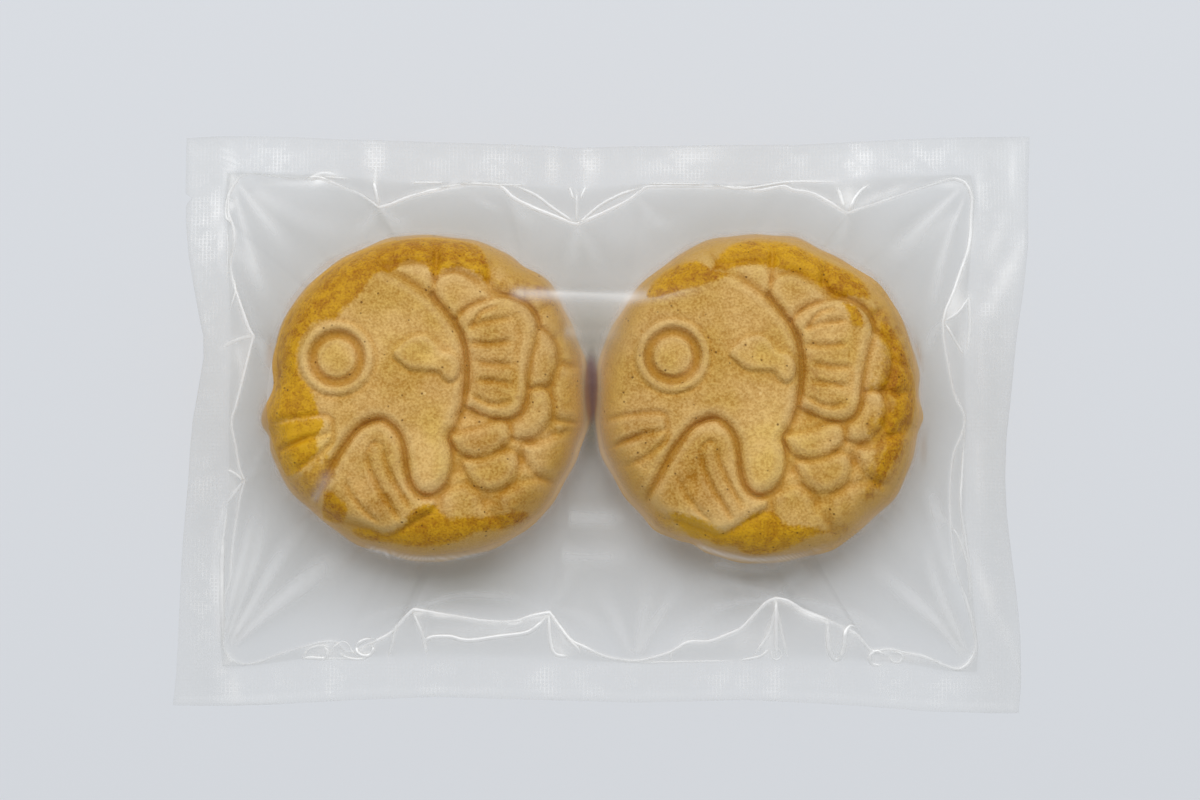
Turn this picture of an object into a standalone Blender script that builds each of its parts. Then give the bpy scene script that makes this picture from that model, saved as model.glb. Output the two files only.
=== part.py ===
"""A clear vacuum pouch that holds two round fish-shaped filled cakes, as one closed solid.

The pouch is two equal sheets of film, welded together in a flat band round all four sides. The air
is drawn out, so the upper sheet lies over both cakes and runs down to the band as a taut skin, and
the lower sheet does the same from below. The vacuum pulls the band inwards and pleats it: at each
pleat the loop along which the two sheets part jumps inwards to a point.

Metres, +Z up. X runs along the pouch and Y across it. The origin is the centre of the flat base.
"""

import math

import bmesh
import bpy
import numpy as np

MM = 0.001

# Pouch outline: its corners, anticlockwise from the lower left, and how far the vacuum draws in the
# middle of each side, in the order lower, right, upper, left.
POUCH_HALF_LENGTH = 100 * MM
POUCH_HALF_WIDTH = 67.5 * MM
CORNERS = (
    (-POUCH_HALF_LENGTH, -POUCH_HALF_WIDTH + 2.3 * MM),
    (POUCH_HALF_LENGTH - 2.8 * MM, -POUCH_HALF_WIDTH),
    (POUCH_HALF_LENGTH, POUCH_HALF_WIDTH),
    (-POUCH_HALF_LENGTH + 1.4 * MM, POUCH_HALF_WIDTH - 0.2 * MM),
)
BOW_LOWER, BOW_RIGHT, BOW_UPPER, BOW_LEFT = 2.6 * MM, 3.4 * MM, 2.8 * MM, 4.9 * MM

# The welded band.
BAND_LOWER, BAND_RIGHT, BAND_UPPER, BAND_LEFT = 10.5 * MM, 12.5 * MM, 9.8 * MM, 10 * MM
BAND_THICKNESS = 0.6 * MM
BAND_HEIGHT = 7.5 * MM
CORNER_DROOP = 3.5 * MM
BAND_RIPPLE = 0.5 * MM
RIPPLE_LENGTH = 46 * MM
LOOP_CORNER_RADIUS = 6 * MM

# Pleats along the band, as (place along the side, how far it points inwards, half its width).
UPPER_PLEATS = (
    (-53.5 * MM, 6.5 * MM, 19 * MM),
    (-6.5 * MM, 9.5 * MM, 21 * MM),
    (57 * MM, 6.5 * MM, 17 * MM),
)
LOWER_PLEATS = (
    (-45 * MM, 11 * MM, 15 * MM),
    (-13.5 * MM, 10.5 * MM, 16 * MM),
    (38.5 * MM, 13.5 * MM, 26 * MM),
)
LEFT_PLEATS = ((20 * MM, 6.5 * MM, 22 * MM), (-13 * MM, 4.5 * MM, 16 * MM))
RIGHT_PLEATS = ((24 * MM, 7 * MM, 19 * MM), (-29 * MM, 5.5 * MM, 22 * MM))

# The two cakes.
CAKE_CENTRES = ((-40.9 * MM, 5 * MM), (35.1 * MM, 5 * MM))
CAKE_RADIUS = 37 * MM
CAKE_HEIGHT = 25.5 * MM
CAKE_CROWN = 1.6 * MM
SHOULDER_RADIUS = 8 * MM
BASE_RADIUS = 31 * MM
SEAM_HEIGHT = 12 * MM
FILM_GAP = 0.3 * MM

# The film between cakes and band.
LEAST_SLOPE_AT_LOOP = math.tan(math.radians(42))
INWARD_PULL = 0.035 * MM
RELAXING_STEPS = 600

# The mesh.
CELL = 3.8 * MM
CELLS_ACROSS_BAND = 2

FILM_COLOUR = (0.80, 0.82, 0.82, 1.0)
FILM_ROUGHNESS = 0.12
FILM_ALPHA = 0.35


def clear_scene():
    for old in list(bpy.data.objects):
        bpy.data.objects.remove(old, do_unlink=True)


def grid_lines(length, near_band, far_band):
    """Shares of a side's length for the grid lines: a few across each band and even cells between."""
    inner = length - near_band - far_band
    return np.concatenate(
        (
            np.linspace(0, near_band, CELLS_ACROSS_BAND, endpoint=False),
            np.linspace(near_band, near_band + inner, round(inner / CELL), endpoint=False),
            np.linspace(length - far_band, length, CELLS_ACROSS_BAND + 1),
        )
    ) / length


def outline_grid():
    """X and Y of every grid point: the four bowed sides blended over the inside."""
    along = grid_lines(2 * POUCH_HALF_LENGTH, BAND_LEFT, BAND_RIGHT)
    across = grid_lines(2 * POUCH_HALF_WIDTH, BAND_LOWER, BAND_UPPER)
    u, v = np.meshgrid(along, across, indexing="ij")
    weights = ((1 - u) * (1 - v), u * (1 - v), u * v, (1 - u) * v)
    x = sum(weight * corner[0] for weight, corner in zip(weights, CORNERS))
    y = sum(weight * corner[1] for weight, corner in zip(weights, CORNERS))
    bow_u, bow_v = 4 * u * (1 - u), 4 * v * (1 - v)
    x += bow_v * (BOW_LEFT * (1 - u) - BOW_RIGHT * u)
    y += bow_u * (BOW_LOWER * (1 - v) - BOW_UPPER * v)
    return u, v, x, y


def pleat_depth(place, pleats):
    """How far the loop points inwards at a place along a side."""
    reach = [
        depth * np.clip(1 - np.abs(place - middle) / half, 0, 1)
        for middle, depth, half in pleats
    ]
    return np.maximum.reduce(reach)


def distance_inside_loop(u, v, x, y):
    """Distance from the loop where the sheets part: positive inside it, zero or less on the band."""
    length, width = 2 * POUCH_HALF_LENGTH, 2 * POUCH_HALF_WIDTH
    from_left = u * length - BAND_LEFT - pleat_depth(y, LEFT_PLEATS)
    from_right = (1 - u) * length - BAND_RIGHT - pleat_depth(y, RIGHT_PLEATS)
    from_lower = v * width - BAND_LOWER - pleat_depth(x, LOWER_PLEATS)
    from_upper = (1 - v) * width - BAND_UPPER - pleat_depth(x, UPPER_PLEATS)
    side, end = np.minimum(from_left, from_right), np.minimum(from_lower, from_upper)
    straight = np.minimum(side, end)
    radius = LOOP_CORNER_RADIUS
    rounded = radius - np.hypot(radius - side, radius - end)
    return np.where((side < radius) & (end < radius), rounded, straight)


def band_level(u, v, x, y):
    """Height of the middle of the welded band: it droops to its corners and ripples a little."""
    corner = (np.abs(2 * u - 1) * np.abs(2 * v - 1)) ** 2
    ripple = np.sin(2 * math.pi * x / RIPPLE_LENGTH) * np.cos(2 * math.pi * y / RIPPLE_LENGTH)
    return BAND_HEIGHT - CORNER_DROOP * corner + BAND_RIPPLE * ripple * (1 - corner)


def distance_to_cakes(x, y):
    """Distance from the axis of the nearer cake."""
    return np.minimum.reduce([np.hypot(x - cx, y - cy) for cx, cy in CAKE_CENTRES])


def cake_top(r):
    """Height of a cake's upper surface: a low crown, a round shoulder and nothing past the rim."""
    crown = CAKE_HEIGHT - CAKE_CROWN * (r / CAKE_RADIUS) ** 2
    into_shoulder = np.clip(r - (CAKE_RADIUS - SHOULDER_RADIUS), 0, SHOULDER_RADIUS)
    fall = SHOULDER_RADIUS - np.sqrt(SHOULDER_RADIUS**2 - into_shoulder**2)
    return np.where(r < CAKE_RADIUS, crown - fall + FILM_GAP, 0)


def cake_base(r):
    """Height of a cake's lower surface: a flat base and a round lower edge up to the seam."""
    into_edge = np.clip((r - BASE_RADIUS) / (CAKE_RADIUS - BASE_RADIUS), 0, 1)
    rise = SEAM_HEIGHT * (1 - np.sqrt(1 - into_edge**2))
    return np.where(r < CAKE_RADIUS, rise, CAKE_HEIGHT)


def relaxed(start, held, pull, limit):
    """A taut skin: each free point moves to the mean of its neighbours, plus pull, and keeps to limit."""
    height = start.copy()
    for _ in range(RELAXING_STEPS):
        mean = (height[2:, 1:-1] + height[:-2, 1:-1] + height[1:-1, 2:] + height[1:-1, :-2]) / 4
        height[1:-1, 1:-1] = np.where(held[1:-1, 1:-1], start[1:-1, 1:-1], mean + pull)
        height = limit(height)
    return height


def film_heights(u, v, x, y):
    """Heights of the upper and the lower sheet over the whole grid."""
    inside = distance_inside_loop(u, v, x, y)
    level = band_level(u, v, x, y)
    r = distance_to_cakes(x, y)
    top, base = cake_top(r), cake_base(r)
    held = inside <= 0
    rise = LEAST_SLOPE_AT_LOOP * np.maximum(inside, 0)
    upper = relaxed(level, held, -INWARD_PULL, lambda z: np.maximum(z, np.where(held, z, top)))
    lower = relaxed(level, held, INWARD_PULL, lambda z: np.minimum(z, np.where(held, z, base)))
    upper = np.minimum(upper, level + rise) + BAND_THICKNESS / 2
    lower = np.maximum(lower, level - rise) - BAND_THICKNESS / 2
    return upper, np.maximum(lower, 0)


def film_material():
    film = bpy.data.materials.new("clear_film")
    film.use_nodes = True
    shader = film.node_tree.nodes["Principled BSDF"]
    shader.inputs["Base Color"].default_value = FILM_COLOUR
    shader.inputs["Roughness"].default_value = FILM_ROUGHNESS
    shader.inputs["Metallic"].default_value = 0.0
    shader.inputs["Alpha"].default_value = FILM_ALPHA
    return film


def add_sheet(mesh, x, y, z):
    """One sheet's points, as a grid of bmesh vertices."""
    return [
        [mesh.verts.new(point) for point in zip(x_row, y_row, z_row)]
        for x_row, y_row, z_row in zip(x.tolist(), y.tolist(), z.tolist())
    ]


def fill_sheet(mesh, points, faces_up):
    for near, far in zip(points, points[1:]):
        for a, b, c, d in zip(near, far, far[1:], near[1:]):
            mesh.faces.new((a, b, c, d) if faces_up else (d, c, b, a))


def rim_of(points):
    """The points round a sheet's edge, in order."""
    first, last = points[0], points[-1]
    right = [row[-1] for row in points[1:-1]]
    left = [row[0] for row in points[1:-1]]
    return first + right + last[::-1] + left[::-1]


def build_pouch():
    u, v, x, y = outline_grid()
    upper, lower = film_heights(u, v, x, y)
    mesh = bmesh.new()
    top_points = add_sheet(mesh, x, y, upper)
    base_points = add_sheet(mesh, x, y, lower)
    fill_sheet(mesh, top_points, faces_up=True)
    fill_sheet(mesh, base_points, faces_up=False)
    top_rim, base_rim = rim_of(top_points), rim_of(base_points)
    for i, (a, b) in enumerate(zip(top_rim, base_rim)):
        mesh.faces.new((top_rim[i - 1], base_rim[i - 1], b, a))
    bmesh.ops.recalc_face_normals(mesh, faces=mesh.faces)
    data = bpy.data.meshes.new("pouch")
    mesh.to_mesh(data)
    mesh.free()
    data.shade_smooth()
    data.set_sharp_from_angle(angle=math.radians(40))
    data.materials.append(film_material())
    pouch = bpy.data.objects.new("pouch", data)
    bpy.context.scene.collection.objects.link(pouch)
    return pouch


clear_scene()
build_pouch()
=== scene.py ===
import math

import bpy
import numpy as np
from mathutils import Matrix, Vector


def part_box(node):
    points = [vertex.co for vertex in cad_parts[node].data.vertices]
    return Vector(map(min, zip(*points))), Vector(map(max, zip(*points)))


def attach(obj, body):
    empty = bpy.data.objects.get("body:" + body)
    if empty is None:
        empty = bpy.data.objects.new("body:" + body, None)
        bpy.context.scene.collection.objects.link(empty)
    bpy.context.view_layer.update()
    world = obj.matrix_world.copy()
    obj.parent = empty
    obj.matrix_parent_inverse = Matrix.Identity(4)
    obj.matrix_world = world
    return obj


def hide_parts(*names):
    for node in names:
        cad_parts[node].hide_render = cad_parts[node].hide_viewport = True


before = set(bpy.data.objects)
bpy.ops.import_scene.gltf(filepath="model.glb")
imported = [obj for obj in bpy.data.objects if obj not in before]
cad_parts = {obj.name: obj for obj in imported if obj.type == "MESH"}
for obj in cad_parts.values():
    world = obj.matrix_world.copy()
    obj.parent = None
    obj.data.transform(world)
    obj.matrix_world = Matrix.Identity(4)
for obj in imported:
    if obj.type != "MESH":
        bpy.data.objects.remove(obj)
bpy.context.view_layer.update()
mm = 0.001          # lengths are in millimetres until they go into a mesh
print("frame loaded, nodes:", len(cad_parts))


# A smooth line through a few points, open or closed: between two points it is a cubic whose slope at each
# end is half the step from the point before to the point after (Catmull-Rom), read at equal steps.
def smoothLine(points, closed=False, steps=10):
    p = np.array(points, float)
    if closed:
        p = np.vstack((p[-1], p, p[0], p[1]))
    else:
        p = np.vstack((2 * p[0] - p[1], p, 2 * p[-1] - p[-2]))
    t = np.linspace(0, 1, steps, endpoint=False)[:, None]
    a, b, c, d = (p[i:len(p) - 3 + i, None, :] for i in range(4))
    curve = 0.5 * (2 * b + (c - a) * t + (2 * a - 5 * b + 4 * c - d) * t**2
                   + (3 * b - a - 3 * c + d) * t**3)
    curve = curve.reshape(-1, 2)
    return curve if closed else np.vstack((curve, p[-2]))


# Distance from points (x, y) to a chain of straight pieces, and the share of its length where it is met.
def distanceToLine(x, y, line):
    best = np.full(x.shape, 1e9)
    place = np.zeros(x.shape)
    lengths = np.hypot(*np.diff(line, axis=0).T)
    walked = np.concatenate(([0], np.cumsum(lengths)))
    for (ax, ay), (bx, by), long, start in zip(line, line[1:], lengths, walked):
        ux, uy = (bx - ax) / max(long, 1e-9), (by - ay) / max(long, 1e-9)
        t = np.clip((x - ax) * ux + (y - ay) * uy, 0, long)
        gap = np.hypot(x - ax - t * ux, y - ay - t * uy)
        nearer = gap < best
        best = np.where(nearer, gap, best)
        place = np.where(nearer, (start + t) / walked[-1], place)
    return best, place


# Signed distance to a closed line, positive inside: the nearest piece, and how often a ray crosses it.
def distanceInside(x, y, line):
    loop = np.vstack((line, line[:1]))
    gap = distanceToLine(x, y, loop)[0]
    inside = np.zeros(x.shape, bool)
    for (ax, ay), (bx, by) in zip(loop, loop[1:]):
        if ay == by:
            continue
        crosses = (ay > y) != (by > y)
        inside ^= crosses & (x < (bx - ax) * (y - ay) / (by - ay) + ax)
    return np.where(inside, gap, -gap)


# Which points lie in the box round a line, this much wider on every side.
def nearLine(x, y, line, margin):
    (left, lower), (right, upper) = line.min(axis=0) - margin, line.max(axis=0) + margin
    return (x > left) & (x < right) & (y > lower) & (y < upper)


# 0 below one value and 1 above another, and 3t^2 - 2t^3 of the share t between them.
def smoothStep(low, high, value):
    t = np.clip((value - low) / (high - low), 0, 1)
    return t * t * (3 - 2 * t)


# A bell curve: 1 at 0, and 1/e one width away.
def bell(value, width=1.0):
    return np.exp(-(value / width) ** 2)


# Soft uneven values, mostly in -1..1, over the plane: the sum of a few sine waves in seeded directions.
def unevenness(x, y, size, seed, waves=7):
    draw = np.random.default_rng(seed)
    total = 0
    for _ in range(waves):
        turn, phase = draw.uniform(0, 2 * math.pi, 2)
        length = size * draw.uniform(0.7, 1.5)
        total = total + np.sin(2 * math.pi * (x * math.cos(turn) + y * math.sin(turn)) / length + phase)
    return total / math.sqrt(waves * 2)


# Soft spots: bells across and along each one's lean, gathered as their greatest or their sum.
def spotField(x, y, spots, gather=np.maximum):
    total = np.zeros(x.shape)
    for cx, cy, rx, ry, *lean, strength in spots:
        turn = math.radians(lean[0] if lean else 0)
        across = (x - cx) * math.cos(turn) + (y - cy) * math.sin(turn)
        along = (y - cy) * math.cos(turn) - (x - cx) * math.sin(turn)
        total = gather(total, strength * np.exp(-(across / rx) ** 2 - (along / ry) ** 2))
    return total


# Reads a map on even grid lines at any points: the mean of four samples, each by its nearness.
def readGrid(xs, ys, values, x, y):
    i = np.clip((x - xs[0]) / (xs[1] - xs[0]), 0, len(xs) - 1.001)
    j = np.clip((y - ys[0]) / (ys[1] - ys[0]), 0, len(ys) - 1.001)
    a, b = i.astype(int), j.astype(int)
    s, t = i - a, j - b
    return (values[a, b] * (1 - s) * (1 - t) + values[a + 1, b] * s * (1 - t)
            + values[a, b + 1] * (1 - s) * t + values[a + 1, b + 1] * s * t)


# A map blurred by repeated means of neighbours, to find what lies lower than its surroundings.
def blurred(values, passes):
    soft = values.copy()
    for _ in range(passes):
        soft[1:-1, 1:-1] = (soft[2:, 1:-1] + soft[:-2, 1:-1] + soft[1:-1, 2:] + soft[1:-1, :-2]
                            + 4 * soft[1:-1, 1:-1]) / 8
    return soft


# The mould's fish, as a map of heights.
relief = {
    "half": 42.0,                            # the map reaches this far from the middle
    "step": 0.16,                            # and has a sample every so often
    "softness": 0.35,                        # half width of the step from one shape down to the next
    "pressed": ((0.8, 1.3), (0.45, 0.2)),    # share of its roll that a low and a high shape press in
    "pressReach": 0.9,                       # and how far round them
    "margin": 2.6,                           # and how far past its outline a shape is worked out
    "grooveEnd": 0.35,                       # share of a groove's depth at its ends
    "grooveTaper": 8,                        # one over the share of its length that its ends take up
    "blurs": (14, 90, 280),                  # how far the map is smoothed to tell hollows from high places
    "hollowMix": (0.45, 0.55),               # shares of the narrow and the wide hollows
}

# Each shape: its outline, how high it stands, how much its edge is rolled down, and how wide that roll is.
# They are laid on each other in this order, like the petals and scales of the mould.
fishShapes = [
    ('rimOne', 0.35, 0.7, 2.6, [(-12, 31.5), (-8.5, 30.2), (-3, 30.6), (3, 30.4), (4, 34), (4, 44),
     (-16, 44)]),
    ('rimTwo', 0.4, 0.8, 2.8, [(3.2, 30.6), (4.5, 28), (8, 28), (11.5, 26.6), (14.6, 25.6), (17, 31),
     (20, 44), (4, 44)]),
    ('rimThree', 0.4, 0.8, 2.8, [(14.9, 25.6), (17, 22.9), (20.5, 22), (24, 19.6), (25.9, 16.6), (29, 18),
     (44, 24), (30, 40), (19, 40)]),
    ('rimFour', 0.3, 0.7, 2.4, [(26, 15.4), (28, 13.4), (30, 11.4), (30.6, 8), (33, 6.2), (44, 8),
     (44, 26), (28, 20)]),
    ('rimFive', 0.55, 0.7, 2.2, [(30.5, 7.8), (33, 6.6), (44, 7), (44, 1.5), (34.6, 1), (31.5, 0.2),
     (28.7, 0.8), (29.8, 4)]),
    ('rimSix', 0.55, 0.8, 2.4, [(28.7, 0.4), (31.5, 0), (34.6, 0.7), (44, 1), (44, -9), (34, -7.6),
     (31.4, -8.8), (28.6, -9), (28.6, -5)]),
    ('tailH', 0.35, 0.8, 2.4, [(2.6, -24), (4, -22.1), (6, -20.9), (8.5, -20.6), (10.5, -21.8),
     (12.2, -23.4), (12.8, -25.6), (15, -28), (17.4, -34), (14, -44), (2, -44), (3.4, -30)]),
    ('tailG', 0.4, 0.8, 2.4, [(16, -23.4), (19, -21.6), (21.5, -20.3), (24.5, -19.9), (27.5, -20.6),
     (36, -24), (34, -38), (20, -44), (17.5, -33), (15.8, -27)]),
    ('scaleF', 0.55, 0.9, 2.4, [(21.7, -12.4), (24, -11.7), (27, -10.9), (30, -9.6), (33, -8.8),
     (40, -10), (40, -18), (33, -19.4), (29.5, -20.2), (26.5, -19.6), (24, -18.4), (22.4, -15.8)]),
    ('scaleB', 0.7, 0.9, 2.2, [(8.2, -15.4), (12, -14.4), (16, -13.4), (19.6, -13.6), (20.8, -15.8),
     (20.3, -19), (18, -21.4), (15, -22.5), (12, -22), (9.5, -19.8), (8.4, -17.6)]),
    ('scaleD', 0.7, 0.8, 2.2, [(25.9, 14.1), (28.1, 13), (29.8, 10.5), (30.2, 7), (29.5, 3.6), (28, 1.3),
     (25.5, 0.4), (23.6, 1), (23.4, 5), (24.4, 9.4)]),
    ('scaleC', 0.85, 0.9, 2.2, [(19.3, -7.6), (21.9, -5.4), (23.3, -2.4), (24, 0.2), (27, 0.5),
     (28.5, -1.5), (28.7, -5), (27.4, -8), (25, -10.1), (22, -10.9), (19.4, -10.3)]),
    ('scaleA', 1.0, 0.9, 2.2, [(5.4, -9.6), (8.2, -8.9), (12, -8.1), (15, -6.9), (17.4, -6.6), (19, -8),
     (19, -10.5), (17.4, -12.5), (14.8, -14.2), (11.4, -14.9), (8, -13.9), (6, -11.9)]),
    ('dorsalOne', 0.75, 0.6, 2.2, [(-7.4, 28.6), (-3.4, 29.9), (0.8, 29.4), (2.5, 26.8), (2.6, 24),
     (0, 22), (-6, 25)]),
    ('dorsalTwo', 0.85, 0.6, 2.2, [(2.7, 25), (4.4, 26.9), (7.6, 27.4), (10.6, 26), (13.4, 23.8),
     (15.4, 21.7), (12.8, 20.7), (9.6, 19.2), (7.2, 17), (4.6, 19.4), (2.9, 22)]),
    ('breastFin', 1.15, 0.9, 2.0, [(7.5, 16.5), (9.6, 19), (12.6, 20.6), (16, 21.5), (19.5, 21.3),
     (23, 19.7), (25.2, 17.2), (25.9, 14.4), (25.4, 11.5), (24.3, 8), (23.5, 4.5), (23, 1), (22.6, -2),
     (21.4, -4.7), (19, -6), (16, -6), (13, -5.1), (10.5, -3.8), (9, -2.7), (9.6, 1), (9.8, 5), (9.6, 9),
     (8.9, 13)]),
    ('head', 1.35, 1.0, 2.6, [(-9.5, 29.6), (-5, 27.2), (-1, 24.5), (2.6, 21.3), (5.4, 18), (7.4, 15),
     (8.8, 11.4), (9.4, 7), (9.2, 2.4), (8.5, -2.4), (7, -6.6), (5.1, -10), (5.6, -13), (5.5, -16.6),
     (4.4, -19.8), (2, -22.2), (-1, -22.9), (-3.3, -21.2), (-4.5, -17.6), (-5, -13), (-6.2, -9),
     (-8.6, -6.6), (-11, -5.6), (-14.6, -7), (-17.8, -10.6), (-20.6, -15), (-23, -19.4), (-25.8, -23.6),
     (-31, -30), (-44, -24), (-46, 0), (-40, 30), (-18, 42)]),
    ('bellyFin', 1.25, 0.9, 1.9, [(-10.6, -5.9), (-7.8, -7), (-5.8, -9.8), (-5, -13.2), (-4.6, -17.4),
     (-3.6, -20.9), (-1.4, -23.2), (1.6, -24.3), (0.6, -26.6), (-3, -28.4), (-6, -30.2), (-9.4, -31.6),
     (-14, -29.8), (-18.6, -28.4), (-23, -27.2), (-25.6, -24.2), (-23.4, -19.9), (-20.9, -15.1),
     (-18.1, -11), (-14.8, -7.4)]),
    ('upperLip', 1.55, 0.5, 1.5, [(-40, -5.8), (-35, -5.5), (-30.6, -5), (-25.6, -4.5), (-22.4, -4.6),
     (-21.1, -6), (-21.2, -8), (-23, -8.9), (-26, -9.2), (-29, -10), (-33, -11.4), (-40, -13)]),
    ('lowerLip', 1.5, 0.5, 1.5, [(-40, -12.8), (-33, -11.6), (-29, -10.2), (-26, -9.4), (-23, -8.8),
     (-21.1, -8.6), (-21.4, -10.6), (-23.4, -12.4), (-26.4, -14.4), (-30, -16), (-34, -16.3),
     (-40, -14.6)]),
    ('cheek', 2.15, 0.6, 1.2, [(-7.1, 9.1), (-5.6, 11.3), (-2.6, 13.2), (0.5, 13.4), (2.5, 12), (4, 9.9),
     (6.5, 8.9), (8, 6.5), (7.6, 3.6), (6, 2.3), (4.4, 3.2), (3, 4.7), (0, 5), (-3.2, 5.4), (-5.4, 7)]),
]

# Grooves pressed into the shapes: depth, half width and the line they follow.
fishGrooves = [
    (0.48, 1.05, [(-9.5, 29.6), (-5, 27.2), (-1, 24.5), (2.6, 21.3), (5.4, 18), (7.4, 15), (8.9, 11.4),
     (9.5, 7), (9.3, 2.4), (8.6, -2.4), (7.1, -6.6), (5.2, -10)]),
    (0.44, 0.9, [(5.2, -10), (6, -13), (6.4, -16.6), (5, -20.2), (2, -22.8), (-1, -23.2), (-3.5, -21.4),
     (-4.7, -17.6), (-5.1, -13), (-6.4, -9), (-8.6, -6.5), (-11, -5.5), (-14.7, -6.9), (-18, -10.6),
     (-20.8, -15), (-23.2, -19.4), (-25.8, -23.4)]),
    (0.55, 0.55, [(10.8, 15), (13.4, 18.3), (17, 19.6)]),
    (0.6, 0.75, [(10.2, 14.7), (13.5, 15.9), (17, 16.4), (20, 16.9)]),
    (0.65, 0.75, [(10.4, 11.2), (15, 10.9), (19.8, 11.4)]),
    (0.65, 0.8, [(12.4, 6.9), (16, 6.2), (20.2, 6)]),
    (0.6, 0.75, [(12.2, 2.7), (15.6, 2.3), (19.6, 1.6)]),
    (0.55, 0.7, [(10.6, -0.6), (13.6, -2.4), (16.6, -2.9), (19.4, -2.1)]),
    (0.4, 0.8, [(20.9, 17), (21.6, 13), (20.9, 9), (20.6, 4), (20.6, 0)]),
    (0.75, 0.7, [(-13.2, -12.6), (-13.2, -15), (-12.3, -18), (-10.6, -21.8), (-8.2, -25.4),
     (-6.4, -28.6)]),
    (0.65, 0.6, [(-9.9, -11.8), (-9.2, -15.4), (-8, -18.6), (-6.2, -22), (-4.2, -25.4)]),
    (0.55, 0.6, [(-18.6, -19), (-17, -22.6), (-14.4, -26), (-11.2, -29)]),
    (0.4, 0.5, [(-13.2, -12.6), (-12.4, -11.2), (-11, -10.9), (-9.9, -11.8)]),
    (0.6, 0.6, [(-36, -12.6), (-32, -11.1), (-29, -10.1), (-26.4, -9)]),
    (0.4, 0.55, [(-38, -5.7), (-30.6, -4.8), (-25.6, -4.2), (-22.2, -4.3), (-20.9, -6), (-21, -10),
     (-23.4, -12.8), (-27, -15.2), (-31, -16.7)]),
    (0.5, 0.6, [(3.2, 33.5), (3.1, 30), (2.7, 25.6)]),
    (0.5, 0.6, [(14.2, 28.6), (14.8, 25.8), (17, 22.8), (20.4, 21.9), (23.8, 20), (25.8, 17),
     (26, 14.6)]),
]

# Hollows pressed where shapes meet: middle, reach each way and depth.
fishHollows = [
    (-15.2, -19.6, 1.9, 3.6, 0.55), (13.6, -24.3, 1.5, 1.3, 0.8), (10.2, -5.2, 2.4, 1.6, 0.5),
    (21.3, -15.2, 0.9, 1.4, 0.6), (7.4, -17.2, 1.0, 2.4, 0.4), (23.6, -11.8, 1.4, 0.7, 0.5),
    (11.2, 3.6, 1.1, 6.5, 0.35), (0.2, 9.0, 1.6, 1.2, 0.25), (4.0, 30.8, 0.9, 1.6, 0.3),
]

# The eye's rings, as radius, half width, height and how steep their bell is, and its pupil.
fishEye = {"x": -19.8, "y": 8.6, "rings": [(7.5, 1.1, 0.5, 2), (5.5, 1.05, -0.85, 4), (8.9, 0.5, -0.3, 2)],
           "pupil": 4.6, "pupilHeight": 0.35}


# The rows and columns of the map that hold a line and its surroundings.
def windowOf(points, margin, xs):
    first = np.searchsorted(xs, np.min(points, axis=0) - margin)
    last = np.searchsorted(xs, np.max(points, axis=0) + margin)
    return slice(first[0], last[0]), slice(first[1], last[1])


# Height of the fish over a flat disc: each shape covers what lies under it, its edge rolled down as a
# quarter sine, and presses its surroundings in by a half bell. Then the grooves (bell curves across a line),
# the eye and the hollows are cut in.
def reliefMap(ownLobes):
    xs = np.arange(-relief["half"], relief["half"] + 1e-6, relief["step"])
    x, y = np.meshgrid(xs, xs, indexing="ij")
    height = np.zeros(x.shape)
    for name, level, roll, rollWidth, points in fishShapes:
        outline = smoothLine(ownLobes.get(name, points), closed=True, steps=7)
        part = windowOf(outline, relief["margin"], xs)
        gap = distanceInside(x[part], y[part], outline)
        rolled = level - roll * (1 - np.sin(np.clip(gap / rollWidth, 0, 1) * math.pi / 2))
        share = smoothStep(-relief["softness"], relief["softness"], gap)
        pressed = roll * np.interp(level, *relief["pressed"])
        pressed = pressed * bell(np.maximum(-gap, 0), relief["pressReach"])
        height[part] = (height[part] - pressed) * (1 - share) + rolled * share
    for depth, width, points in fishGrooves:
        line = smoothLine(points, steps=7)
        part = windowOf(line, 4 * width, xs)
        gap, place = distanceToLine(x[part], y[part], line)
        ends = np.clip(np.minimum(place, 1 - place) * relief["grooveTaper"], 0, 1)
        deep = depth * (relief["grooveEnd"] + (1 - relief["grooveEnd"]) * ends)
        height[part] -= deep * bell(gap, width)
    r = np.hypot(x - fishEye["x"], y - fishEye["y"])
    for radius, half, rise, steepness in fishEye["rings"]:
        height += rise * np.exp(-((r - radius) / half) ** steepness)
    height += fishEye["pupilHeight"] * np.clip(1 - (r / fishEye["pupil"]) ** 2, 0, 1)
    return xs, height - spotField(x, y, fishHollows, np.add)


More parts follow.
